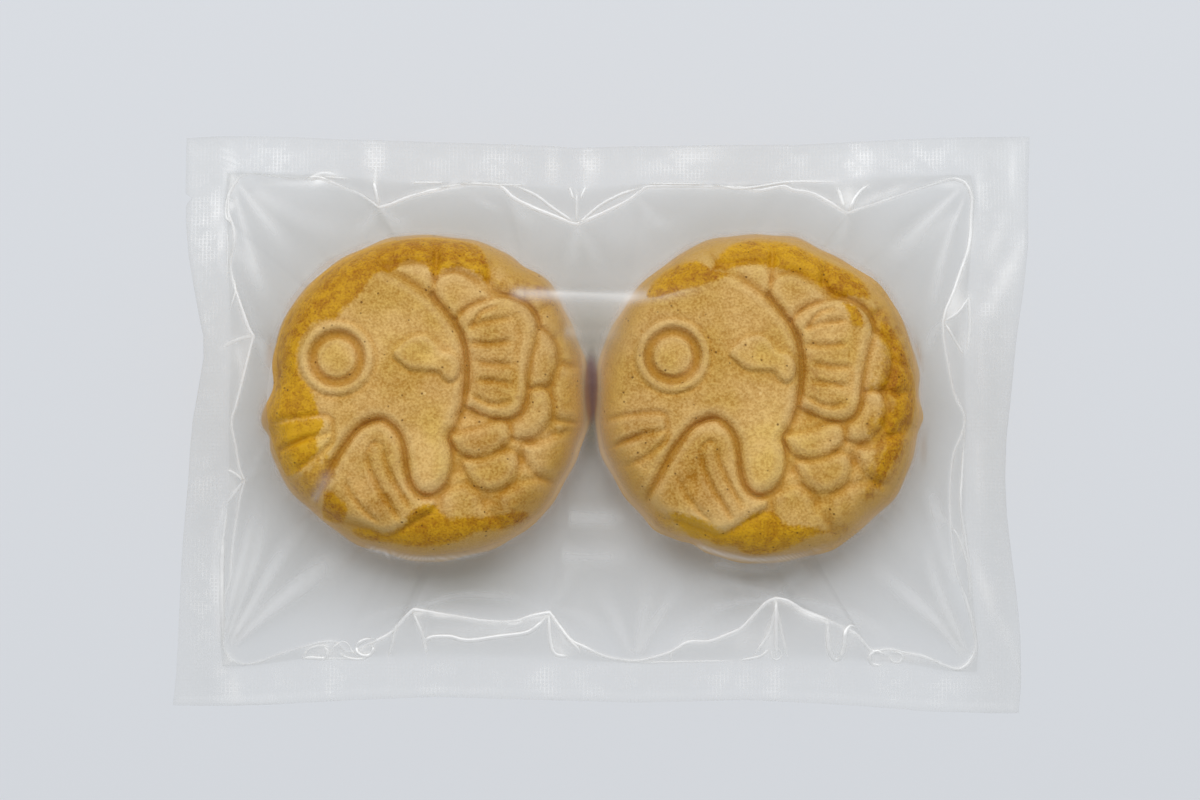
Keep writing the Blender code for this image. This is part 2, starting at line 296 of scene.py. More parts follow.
# Wraps a socket of a material's tree, so that shader maths reads as ordinary Python.
class Socket:
    def __init__(self, tree, link=None):
        self.tree = tree
        self.link = link

    # Any node: its type, its settings, then the values or links of its sockets; gives one of its outputs.
    def node(self, kind, settings=None, sockets=None, output=0):
        made = self.tree.nodes.new("ShaderNode" + kind)
        for key, value in (settings or {}).items():
            setattr(made, key, value)
        for key, value in (sockets or {}).items():
            if isinstance(value, Socket):
                self.tree.links.new(value.link, made.inputs[key])
            else:
                made.inputs[key].default_value = value
        return Socket(self.tree, made.outputs[output]) if made.outputs else None

    # This value and another through one Math node; the operators below use it.
    def math(self, operation, other):
        return self.node("Math", {"operation": operation}, {0: self, 1: other})

    def __add__(self, other):
        return self.math("ADD", other)

    def __sub__(self, other):
        return self.math("SUBTRACT", other)

    def __mul__(self, other):
        return self.math("MULTIPLY", other)

    def __truediv__(self, other):
        return self.math("DIVIDE", other)

    def __rsub__(self, other):
        return self.node("Math", {"operation": "SUBTRACT"}, {0: other, 1: self})

    __radd__ = __add__
    __rmul__ = __mul__

    # 0 below one value and 1 above another, smooth between them.
    def ramp(self, low, high):
        sockets = {"Value": self, "From Min": low, "From Max": high}
        return self.node("MapRange", {"interpolation_type": "SMOOTHSTEP"}, sockets)

    # A colour between two others, by this share.
    def blend(self, first, second):
        return self.node("Mix", {"data_type": "RGBA"}, {0: self, 6: first, 7: second}, output=2)

    # Uneven values round 0.5, with blots of a size in millimetres.
    def noise(self, size, detail=2.0, flat=False):
        settings = {"noise_dimensions": "2D"} if flat else {}
        return self.node("TexNoise", settings, {"Vector": self, "Scale": 1 / (size * mm), "Detail": detail})

    # A number that the mesh carries on its points.
    def attribute(self, name):
        return self.node("Attribute", {"attribute_name": name}, output=2)


# An empty material, and the socket its nodes are made from.
def newMaterial(name):
    material = bpy.data.materials.new(name)
    material.use_nodes = True
    material.node_tree.nodes.clear()
    return material, Socket(material.node_tree)


# Linear colour from the familiar 0-255 scale: a power of 2.4, and a straight line near black.
def rgb(red, green, blue):
    share = np.array((red, green, blue)) / 255
    linear = np.where(share <= 0.04045, share / 12.92, ((share + 0.055) / 1.055) ** 2.4)
    return (*linear.tolist(), 1.0)


batter = {
    "pale": rgb(243, 203, 112),
    "rose": rgb(244, 201, 126),
    # painted highlight: the paler colour of raised parts of the relief
    "raisedHighlight": rgb(252, 220, 158),
    "deep": rgb(176, 118, 24),
    "wall": rgb(208, 160, 66),
    # painted shade: the colour the grooves and hollows take in their shade
    "grooveShade": rgb(180, 124, 16),
    "wetPale": rgb(222, 168, 24),
    "wetDeep": rgb(162, 98, 0),
    "pore": rgb(104, 62, 8),
    # each unevenness: size, detail, and the levels between which it goes from 0 to 1
    "broad": (9.0, 1.0, 0.32, 0.68), "blotch": (2.2, 2.0, 0.35, 0.65),
    "grain": (0.55, 2.0, 0.30, 0.70), "dots": (0.5, 1.0, 0.52, 0.66),
    # how pale it is: weights of grain, blotches, broad patches, dots and tone, then what is even
    "dryMix": ((0.38, 0.17, 0.20, -0.10, -0.6), 0.16),
    "wetMix": ((0.26, 0.38, 0.30, -0.30, -0.5), 0.12),
    # ragged edge of the wet and the damp patches: size and reach of its rags, how far it is moved in, and
    # the distances past it between which the fat sets in
    "wetEdge": (0.9, 1.6, 0.0, -0.5, 0.7), "dampEdge": (1.9, 6.0, 0.6, -1.2, 1.6), "dampShare": 0.75,
    # levels of the relief map between which painted shade in hollows and a painted highlight on raised parts
    # come in
    "hollowShadeFrom": (0.0, 0.40), "raisedHighlightFrom": (0.0, -0.26),
    # share of each further colour; the wall's is an even part and one that goes with the blotches
    "wallShare": (0.45, 0.40), "raisedHighlightShare": 0.25, "grooveShadeShare": 0.64, "wetGrooveShadeShare": 0.35,
    "poreShare": 0.75, "poreEvery": 1.9, "poreSize": (0.07, 0.19),
    "poreChance": (3.1, 0.55, 0.62), "poreOnWet": 0.04,
    "lumpMix": (0.05, 0.06, 0.03, -0.12), "fineLump": 0.28, "lumps": 0.9,
    "roughness": 0.86, "wetRoughness": 0.56, "gloss": 0.22,
}


# A weighted sum of layers, on top of an even part.
def weighted(layers, weights, even):
    return sum((layer * weight for layer, weight in zip(layers, weights)), even)


# The share of wetness that a patch's distances give inside its ragged edge.
def raggedEdge(place, distance, edge):
    size, reach, inset, *between = edge
    return (distance + (place.noise(size, flat=True) - 0.5) * reach - inset).ramp(*between)


# How wet with fat the batter is, 0 to 1: crisp ragged patches, and fainter broken ones.
def soakedShare(s, place):
    wet = raggedEdge(place, s.attribute("wet"), batter["wetEdge"])
    damp = raggedEdge(place, s.attribute("damp"), batter["dampEdge"])
    return wet.math("MAXIMUM", damp * batter["dampShare"])


# Baked batter: fine grain over broad blotches, with painted shade in the grooves and a painted highlight on
# raised parts, darker and glossy where wet with fat, with a few pin-sized pores. Each layer's colour is
# blended over the last by its own share.
def batterMaterial():
    material, s = newMaterial("bakedBatter")
    place = s.node("TexCoord", output=3)
    layers = []
    for name in ("grain", "blotch", "broad", "dots"):
        size, detail, *between = batter[name]
        layers.append(place.noise(size, detail).ramp(*between))
    grain, blotch, broad = layers[:3]
    layers.append(s.attribute("tone"))
    soaked = soakedShare(s, place)
    reliefShading = s.attribute("reliefShading").ramp(*batter["hollowShadeFrom"])
    raisedHighlight = s.attribute("reliefShading").ramp(*batter["raisedHighlightFrom"])

    apart = 1 / (batter["poreEvery"] * mm)
    cells = place.node("TexVoronoi", {"feature": "F1"}, {"Vector": place, "Scale": apart})
    size, *between = batter["poreChance"]
    chance = (place.noise(size, 1.0) + soaked * batter["poreOnWet"]).ramp(*between)
    pore = (1 - cells.ramp(*batter["poreSize"])) * chance

    dry = weighted(layers, *batter["dryMix"])
    dry = dry.blend(batter["deep"], broad.blend(batter["pale"], batter["rose"]))
    even, blotchy = batter["wallShare"]
    dry = (s.attribute("wall") * (even + blotch * blotchy)).blend(dry, batter["wall"])
    # painted highlight on raised parts of the relief
    dry = (raisedHighlight * batter["raisedHighlightShare"]).blend(dry, batter["raisedHighlight"])
    # painted shade in the grooves, by how much lower each place lies than its surroundings
    dry = (reliefShading * batter["grooveShadeShare"]).blend(dry, batter["grooveShade"])
    wet = weighted(layers, *batter["wetMix"]).blend(batter["wetDeep"], batter["wetPale"])
    wet = (reliefShading * batter["wetGrooveShadeShare"]).blend(wet, batter["grooveShade"])
    colour = (pore * batter["poreShare"]).blend(soaked.blend(dry, wet), batter["pore"])

    fine = place.noise(batter["fineLump"], 1.0)
    lumps = weighted((grain, blotch, fine, pore), batter["lumpMix"], 0)
    bump = s.node("Bump", {}, {"Height": lumps, "Strength": batter["lumps"], "Distance": mm})
    roughness = batter["roughness"] - soaked * (batter["roughness"] - batter["wetRoughness"])
    sockets = {"Base Color": colour, "Roughness": roughness, "Normal": bump,
               "Specular IOR Level": batter["gloss"]}
    s.node("OutputMaterial", {}, {"Surface": s.node("BsdfPrincipled", {}, sockets)})
    return material


# A closed mesh from points in millimetres and faces, with its own numbers on every point.
def makePiece(name, points, faces, fields, material):
    mesh = bpy.data.meshes.new(name)
    mesh.from_pydata((points * mm).tolist(), [], faces)
    for key, values in fields.items():
        layer = mesh.attributes.new(key, "FLOAT", "POINT")
        layer.data.foreach_set("value", values.astype(np.float32))
    mesh.shade_smooth()
    mesh.materials.append(material)
    piece = bpy.data.objects.new(name, mesh)
    bpy.context.scene.collection.objects.link(piece)
    return piece


# Quads between the rows of a grid whose columns run round and close.
def ringFaces(rows, columns, first=0):
    r, c = np.meshgrid(np.arange(rows - 1), np.arange(columns), indexing="ij")
    a = first + r * columns + c
    b = first + r * columns + (c + 1) % columns
    return np.stack((a, b, b + columns, a + columns), axis=-1).reshape(-1, 4)


cakeShape = {
    "columns": 540,
    # cross-section from the middle of the top to the middle of the base: reach and height
    "top": [(0, 22.8), (9, 22.75), (18, 22.6), (25, 22.3), (29, 21.8), (32, 20.7), (34.2, 18.8),
            (35.6, 16.5), (36.4, 14.3), (36.8, 13.2)],
    "flange": [(36.8, 13.2), (37.3, 12.8), (37.65, 12.4), (37.6, 11.8), (37.1, 11.5), (36.7, 11.2)],
    "side": [(36.7, 11.2), (36, 8.4), (34.7, 5.2), (32.8, 2.6), (30.6, 1.1), (28, 0.45)],
    "base": [(28, 0.45), (18, 0.3), (9, 0.3), (0, 0.3)],
    "rings": (98, 10, 26, 44),       # rings along each of these four
    "radius": 37.0,
    "poleBase": 0.54,                # height of the middle of the base
    "stretchFrom": (20, 34),         # between these reaches the cake takes on its uneven rim
    "wallFrom": (30, 35),            # and the colour of its wall
    "reliefScale": 1.3,
    "reliefFade": (32.5, 37.4),      # between these reaches the fish relief dies away
    "leastRelief": 0.25,             # to this share
    "baseRelief": 0.4,               # share of the relief's depth on the underside
    "baseLevel": 1.9,                # the underside is pressed in where the upper fish is lower than this
    "baseFade": (24, 30),
    "hollowShadeFade": (33.5, 36.5),      # between these reaches the painted shade of the grooves dies away
    "wetFade": (36.9, 0.5),          # reach where the wet patches end, and how fast
    "scallop": 0.6,                  # share of the notches that the shoulder keeps
    "notchReach": (34.2, 2.2),       # where the notches are deepest, and how far they spread
    "flangeAt": (12.2, 1.3),         # height of the seam flange and its half width
    "flangeFrom": (36.3, 37.2),      # reaches between which it begins
    "flangeWaves": (0.12, 23),       # how deep, and how many round the rim
    # slow waves of the rim: how far it moves, how many round it, and by how much of the seed they turn
    "wander": [(0.25, 3, 1), (0.15, 7, 2), (0.12, 13, 1)],
    "uneven": [(0.10, 9), (0.05, 3)],        # unevenness of the batter: height and size
    "leastUneven": 0.3,              # share of it that is left at the rim
}

cakes = {
    "cakeLeft": {
        "centre": (-40.9, 5.0), "turn": 1.6, "seed": 4,
        # rim lobes that differ from the first fish's
        "lobes": {
            "rimFive": [(28.9, 3.4), (29.8, 5.2), (31.6, 6.0), (34, 5.4), (44, 6), (44, -8), (34, -7),
             (31.2, -7.2), (29, -5.4), (28.6, -1)],
            "rimSix": [(29, -7.6), (31.5, -7.2), (34, -7.4), (44, -8), (44, -20), (34, -19), (31, -17),
             (29.6, -12)],
        },
        # uneven rim: bearing in degrees, how far it moves out, half width in degrees
        "rim": [
            (0, -0.3, 8), (186, 1.2, 7), (173, -1.9, 11), (192, -0.8, 3), (203, 0.2, 9), (53, -0.5, 4),
            (64, 0.4, 9), (20, -0.3, 5), (42, 0.9, 9), (230, -0.4, 9), (124, 0.8, 16), (142, 0.7, 8),
            (-20, -0.5, 6), (-35, -0.8, 7), (255, -0.5, 9),
        ],
        "scallop": [(47, -1.0, 3), (70, -0.8, 3), (22, -0.9, 3), (-18, -0.9, 3), (-50, -0.7, 4)],
        "flange": [(168, 0.5, 6), (189, 0.2, 4), (96, 0.2, 15), (272, 0.3, 12)],
        "wet": [
            [(-40, 18), (-32, 27), (-22, 34), (-8, 39), (6, 39), (13, 34), (15.6, 27.4), (14.6, 25),
             (12, 27.4), (8.6, 28.8), (5.2, 28.4), (2.6, 27), (0.4, 30), (-4, 30.8), (-6.6, 28.4),
             (-10.6, 27.6), (-13.4, 24), (-15, 22.2), (-18.4, 19.4), (-19.6, 17.6), (-24.6, 16.8),
             (-28.2, 12.4), (-28.6, 6), (-25.8, 1.6), (-24.4, -4.4), (-31, -5), (-44, -5)],
            [(-44, -6), (-34, -5.6), (-28, -5), (-24.2, -4.8), (-22.8, -6.6), (-24.6, -9.4),
             (-24.2, -11.8), (-25.6, -14), (-28.4, -16.4), (-31, -17.4), (-44, -19)],
            [(-23.4, -21.8), (-21, -22), (-18.4, -24.8), (-18.6, -27.4), (-20.6, -28.6), (-24, -27)],
            [(-17.6, -30.2), (-13.6, -30), (-10.6, -31.2), (-7.8, -30.6), (-5.4, -29.6), (-4.4, -27.4),
             (-1.6, -25.4), (1.8, -25.4), (3.2, -27.2), (5.4, -28.4), (8.4, -27.8), (12, -28.2),
             (16, -27.8), (20.6, -27), (22.6, -28.2), (17, -31), (11, -31.6), (8.6, -32.8), (5, -33.8),
             (0, -34.6), (-5, -34.2), (-9.6, -33.2), (-15.4, -32.2)],
        ],
        # deep (above 0) and pale (below 0) places: middle, reach each way, how deep
        "tone": [
            (2, -13, 5, 8, -0.55), (-8, 14, 9, 8, -0.25), (12, -11.5, 6, 3, 0.45), (15, 6, 5, 9, 0.3),
            (20, -26, 9, 6, 0.3), (-10, -24, 5, 5, 0.35), (30, 6, 5, 12, 0.15),
            (-19.8, 8.6, 4.5, 4.5, -0.25), (26, 20, 6, 5, 0.4), (2, 9, 4.5, 3, -0.4), (-3, 3, 8, 3, 0.15),
            (-30, 0, 5, 14, -0.3), (-28, -9, 6, 5, -1.1), (4, -31, 16, 4, -0.35),
        ],
        "damp": [
            [(-30, -17), (-26.6, -15.6), (-22.4, -12.8), (-19.6, -16), (-22, -20.4), (-26, -24),
             (-33, -22)],
            [(15, 27), (22, 25), (28, 25.4), (31, 21), (27, 20), (21, 23), (16, 24)],
        ],
    },
    "cakeRight": {
        "centre": (35.1, 5.0), "turn": 0.0, "seed": 9,
        "lobes": {},
        "rim": [
            (180, -0.3, 8), (40, 1.5, 12), (76, 0.3, 6), (0, -0.5, 5), (-24, 0.5, 7), (110, 0.3, 14),
            (124, -0.5, 6), (200, 0.7, 8), (232, 0.7, 5), (246, -1.0, 4), (-62, 1.4, 14), (-38, 0.9, 8),
        ],
        "scallop": [
            (70, -1.0, 3), (40, -0.8, 3), (24, -0.9, 3), (-12, -1.4, 3), (-38, -0.9, 4), (-62, -0.9, 4),
        ],
        "flange": [(8, 0.4, 4), (-7, 0.8, 4), (265, 0.6, 16), (92, 0.3, 14)],
        "wet": [
            [(-11, 28.2), (-9, 32), (-5.6, 35), (-0.6, 36), (4.6, 35.6), (9.4, 34.2), (14, 31.8),
             (18, 29.8), (21.6, 28.2), (24.4, 25.4), (25.4, 22), (21.4, 22.4), (17.2, 22), (14.8, 24),
             (12.4, 25.6), (9.6, 27.2), (6, 28.4), (2.6, 29), (-1, 29.8), (-4.4, 29.2), (-8, 28.6)],
            [(-25.4, 22.2), (-24.4, 25.4), (-20.6, 29), (-15, 30.8), (-10.6, 28.4), (-6.8, 27.6),
             (-9.4, 26), (-13, 24.6), (-16.4, 24), (-20.6, 22.8)],
            [(18.8, 20.9), (21.8, 20.3), (23.6, 17.4), (23.5, 15.2), (21.2, 15.6), (20.2, 18.2)],
            [(27.4, 17), (30.4, 15.4), (33, 11), (34.6, 6.6), (35.6, 3), (35.8, -1.4), (34.8, -6),
             (33, -9.6), (32.4, -12.6), (30.6, -15.4), (29, -18.6), (27, -21.4), (25.6, -20.2),
             (26.4, -16.6), (28.4, -11.8), (28, -8.2), (26.2, -6.2), (29.6, -3.6), (30.4, -1), (27, 1.6),
             (29.4, 5), (29.6, 9.4), (27.6, 13)],
            [(-20.8, -27), (-17.2, -27.2), (-13.2, -28.6), (-10.4, -30), (-8, -31.2), (-5, -29.6),
             (-2.6, -27.6), (0, -26.6), (2.8, -26.4), (4.2, -27.8), (6, -29.4), (9.6, -29.8),
             (12.6, -30.2), (16.4, -31), (13.4, -31.8), (10.8, -32.8), (8, -34.2), (4.4, -35.6),
             (0, -36.2), (-3.8, -35.8), (-5.6, -34.4), (-9.6, -34.2), (-11.8, -33), (-15.8, -32.2)],
        ],
        "tone": [
            (2, -12, 6, 9, -0.65), (1.5, 8.5, 4, 3, -0.35), (-27, -1, 8, 6, 0.1), (-14, -20, 7, 8, 0.42),
            (-27, -9, 5, 4, 0.45), (-19.8, 8.6, 8.5, 8.5, 0.15), (13, 4, 4, 8, 0.25), (31, 0, 4, 22, 0.4),
            (18, -17, 8, 7, 0.05), (12, -10, 5, 3, -0.2), (-19.8, 8.6, 4.5, 4.5, -0.35),
            (17, 8, 5, 9, -0.2), (6, 31, 18, 4, -0.5), (-3, -31, 18, 4, -0.45), (-17, -29, 4, 3, -0.9),
            (-13, -31.4, 7, 3, -0.8), (3, -31, 4, 3, 0.25), (31, 0, 4, 22, -0.2), (-35, 0, 3, 12, -0.6),
        ],
        "damp": [
            [(25, 21.4), (30, 18.6), (34.4, 11), (36.6, 3), (36.8, -3), (35.2, -9), (31.4, -17),
             (26.6, -23.6), (23, -24.4), (24.4, -18), (25.6, -12), (23.6, -7), (27.4, -2), (24.6, 2),
             (27.6, 7), (26.4, 12), (24, 17)],
            [(-26, -27.6), (-21, -27.4), (-18, -30), (-16.4, -32.4), (-20, -33.4), (-24, -31.6)],
            [(16, -31), (19.4, -29), (21, -30.4), (19, -33), (15, -33.4)],
        ],
    },
}

# How much lower each place lies than its surroundings, for the painted shade in hollows and the painted
# highlight on raised parts.
for cake in cakes.values():
    mapLines, cake["height"] = reliefMap(cake["lobes"])
    soft, wide, wider = (blurred(cake["height"], passes) for passes in relief["blurs"])
    narrowShare, wideShare = relief["hollowMix"]
    cake["reliefShading"] = narrowShare * (wide - soft) + wideShare * (wider - soft)
print("fish relief worked out")


# Sum of bells round the rim, each at its bearing in degrees.
def bumpRound(bearing, bumps):
    return sum(reach * bell((bearing - middle + 180) % 360 - 180, half) for middle, reach, half in bumps)


# How far a cake's rim stands off a true circle, as a share, at a bearing in degrees: its bumps, its notches
# by a bell over the shoulder, and three slow waves.
def rimStretch(cake, bearing, reach=0.0):
    turn, seed = np.radians(bearing), cake["seed"]
    wander = sum(far * np.sin(waves * turn + share * seed) for far, waves, share in cakeShape["wander"])
    deepest, spread = cakeShape["notchReach"]
    notches = cakeShape["scallop"] * bumpRound(bearing, cake["scallop"]) * bell(reach - deepest, spread)
    return (bumpRound(bearing, cake["rim"]) + notches + wander) / cakeShape["radius"]


# Signed distance in millimetres to the nearest of several closed patches, positive inside one.
def patchField(x, y, patches):
    field = np.full(x.shape, -6.0)
    for points in patches:
        outline = smoothLine(points, closed=True, steps=6)
        near = nearLine(x, y, outline, 3)
        field[near] = np.maximum(field[near], distanceInside(x[near], y[near], outline))
    return np.clip(field, -3, 3)


# Height that the fish adds at points of a cake's own frame: the map, which fades towards the rim, and a soft
# seeded unevenness.
def fishHeight(cake, x, y):
    fade = 1 - smoothStep(*cakeShape["reliefFade"], np.hypot(x, y))
    least, leastUneven = cakeShape["leastRelief"], cakeShape["leastUneven"]
    height = cakeShape["reliefScale"] * readGrid(mapLines, mapLines, cake["height"], x, y)
    soft = sum(tall * unevenness(x, y, size, cake["seed"] + number)
               for number, (tall, size) in enumerate(cakeShape["uneven"]))
    return height * (least + (1 - least) * fade) + soft * (leastUneven + (1 - leastUneven) * fade)


# Points turned by a cake's own angle, or back into its frame.
def turned(cake, x, y, back=False):
    angle = math.radians(cake["turn"]) * (-1 if back else 1)
    return x * math.cos(angle) - y * math.sin(angle), x * math.sin(angle) + y * math.cos(angle)


# Points of the pouch in a cake's own frame.
def inCake(cake, x, y):
    return turned(cake, x - cake["centre"][0], y - cake["centre"][1], back=True)


# Height of a cake's upper surface over the table at points of the pouch, and -100 where there is none: its
# cross-section at the reach that the uneven rim leaves, and the fish.
def cakeTopAt(cake, x, y):
    lx, ly = inCake(cake, x, y)
    r = np.hypot(lx, ly)
    bearing = np.degrees(np.arctan2(ly, lx))
    true = r / (1 + rimStretch(cake, bearing) * smoothStep(*cakeShape["stretchFrom"], r))
    reach, height = np.array(cakeShape["top"]).T
    top = np.interp(true, reach, height) + fishHeight(cake, lx, ly)
    return np.where(true < reach[-1], top, -100)


# Points at equal steps along a line.
def evenSteps(line, count):
    walked = np.concatenate(([0], np.cumsum(np.hypot(*np.diff(line, axis=0).T))))
    at = np.linspace(0, walked[-1], count, endpoint=False)
    return np.stack([np.interp(at, walked, line[:, k]) for k in (0, 1)], axis=1)


# A closed cake: its cross-section is carried round, stretched to the uneven rim, and the fish is added to
# the top and, shallower and turned over, to the base.
def makeCake(name, cake, material):
    parts = ("top", "flange", "side", "base")
    rings = [evenSteps(smoothLine(cakeShape[part], steps=24), count)
             for part, count in zip(parts, cakeShape["rings"])]
    profile = np.vstack(rings)[1:]                                    # the pole is a single point
    rows, columns = len(profile), cakeShape["columns"]
    turn = np.linspace(0, 2 * math.pi, columns, endpoint=False)
    reach, bearing = np.meshgrid(profile[:, 0], turn, indexing="ij")
    height = np.repeat(profile[:, 1:], columns, axis=1)
    degrees = np.degrees(bearing)
    seam, thick = cakeShape["flangeAt"]
    onFlange = bell(height - seam, thick) * smoothStep(*cakeShape["flangeFrom"], reach)
    stretch = rimStretch(cake, degrees, reach * (height > seam + 0.3))
    r = reach * (1 + stretch * smoothStep(*cakeShape["stretchFrom"], reach))
    r = r + bumpRound(degrees, cake["flange"]) * onFlange
    deep, waves = cakeShape["flangeWaves"]
    r = r + deep * np.sin(waves * bearing + cake["seed"]) * onFlange
    x, y = r * np.cos(bearing), r * np.sin(bearing)
    row = np.arange(rows)[:, None]
    onTop, onBase = row < cakeShape["rings"][0] - 1, row >= rows - cakeShape["rings"][3]
    under = cakeShape["baseLevel"] - fishHeight(cake, -x, y)
    under = cakeShape["baseRelief"] * under * (1 - smoothStep(*cakeShape["baseFade"], r))
    z = height + fishHeight(cake, x, y) * onTop + np.maximum(under, 0) * onBase
    gx, gy = turned(cake, x, y)
    (cx, cy), middle = cake["centre"], np.zeros(1)
    poleTop = [cx, cy, cakeShape["top"][0][1] + fishHeight(cake, middle, middle)[0]]
    poleBase = [cx, cy, cakeShape["poleBase"]]
    points = np.vstack((np.stack((gx + cx, gy + cy, z), axis=-1).reshape(-1, 3), [poleTop, poleBase]))
    step = np.arange(columns)
    following, last, pole = (step + 1) % columns, (rows - 1) * columns, np.full(columns, rows * columns)
    faces = ringFaces(rows, columns)[:, ::-1].tolist()
    faces += np.stack((pole, step, following), axis=1).tolist()
    faces += np.stack((pole + 1, last + following, last + step), axis=1).tolist()
    inside = (1 - smoothStep(*cakeShape["hollowShadeFade"], r)) * onTop
    wetReach, wetSlope = cakeShape["wetFade"]
    fields = {
        "wet": np.minimum(patchField(x, y, cake["wet"]), (wetReach - r) * wetSlope) * onTop - 3 * ~onTop,
        "damp": patchField(x, y, cake["damp"]) * onTop - 3 * ~onTop,
        # painted shade and highlight of the relief, fading out towards the rim
        "reliefShading": readGrid(mapLines, mapLines, cake["reliefShading"], x, y) * inside,
        "tone": spotField(x, y, cake["tone"], np.add) * onTop,
        "wall": smoothStep(*cakeShape["wallFrom"], reach) * (height > 1),
    }
    fields = {key: np.append(values.ravel(), [values.min()] * 2) for key, values in fields.items()}
    return makePiece(name, points, faces, fields, material)


bakedBatter = batterMaterial()
for name, cake in cakes.items():
    piece = makeCake(name, cake, bakedBatter)
    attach(piece, "root")
print("cakes made")


low, high = (np.array(corner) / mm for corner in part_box("pouch"))

film = {
    "rings": (10, 10, 78),           # from outline to weld, to the loop where the sheets part, to the middle
    "baseRings": (3, 3, 10),
    "columns": (250, 170),           # along an upper or lower side, along an end
    "fan": 0.09,                     # share of a side over which its columns fan out to the corner
    "leastBelt": 0.4,                # the weld keeps at least this far outside the loop
    "crowding": (1.7, 1.25),         # powers by which the rings crowd to the loop, outside and inside it
    "leastHeight": 0.05,             # of the lower sheet over the table
    "thickness": 0.6, "level": 7.5, "droop": 3.5, "ripple": 0.5, "rippleLength": 46.0,
    "overCake": 0.30,                # clearance of the film over the cakes
    "sag": 0.016,                    # curvature that the vacuum gives free film
    "slack": 0.45,                   # height of the crumples between weld and loop
    "crumple": (1.6, 0.5, 6, 17),    # how they crowd along and across the pouch, their size and seed
    "freeHalf": 0.2,                 # share of the band's half thickness that free film stands off by
    "creaseHeight": 0.5, "foldHeight": 0.6,
    "coarseStep": 1.5, "coarsePasses": 1400, "passes": (60, 260),     # passes: lower sheet, upper sheet
    "middle": [(-41.0, 5.0), (35.0, 5.0)],
    # taut ridges that bridge the gap between the cakes: height at each end and the line
    "ridges": [(21.5, 22.0, [(-20, 28.6), (-10, 28), (4, 27.6), (16, 28.4), (27, 29.8)]),
               (17.0, 17.0, [(-14, -22.6), (-3, -23.4), (9, -22.6)])],
    "ridgeSag": 0.3, "ridgeRound": 0.25, "ridgeReach": 1.6,
    "eyeFoot": np.array((-1.2, -52.4)), "eyeHeight": 663.0,
}

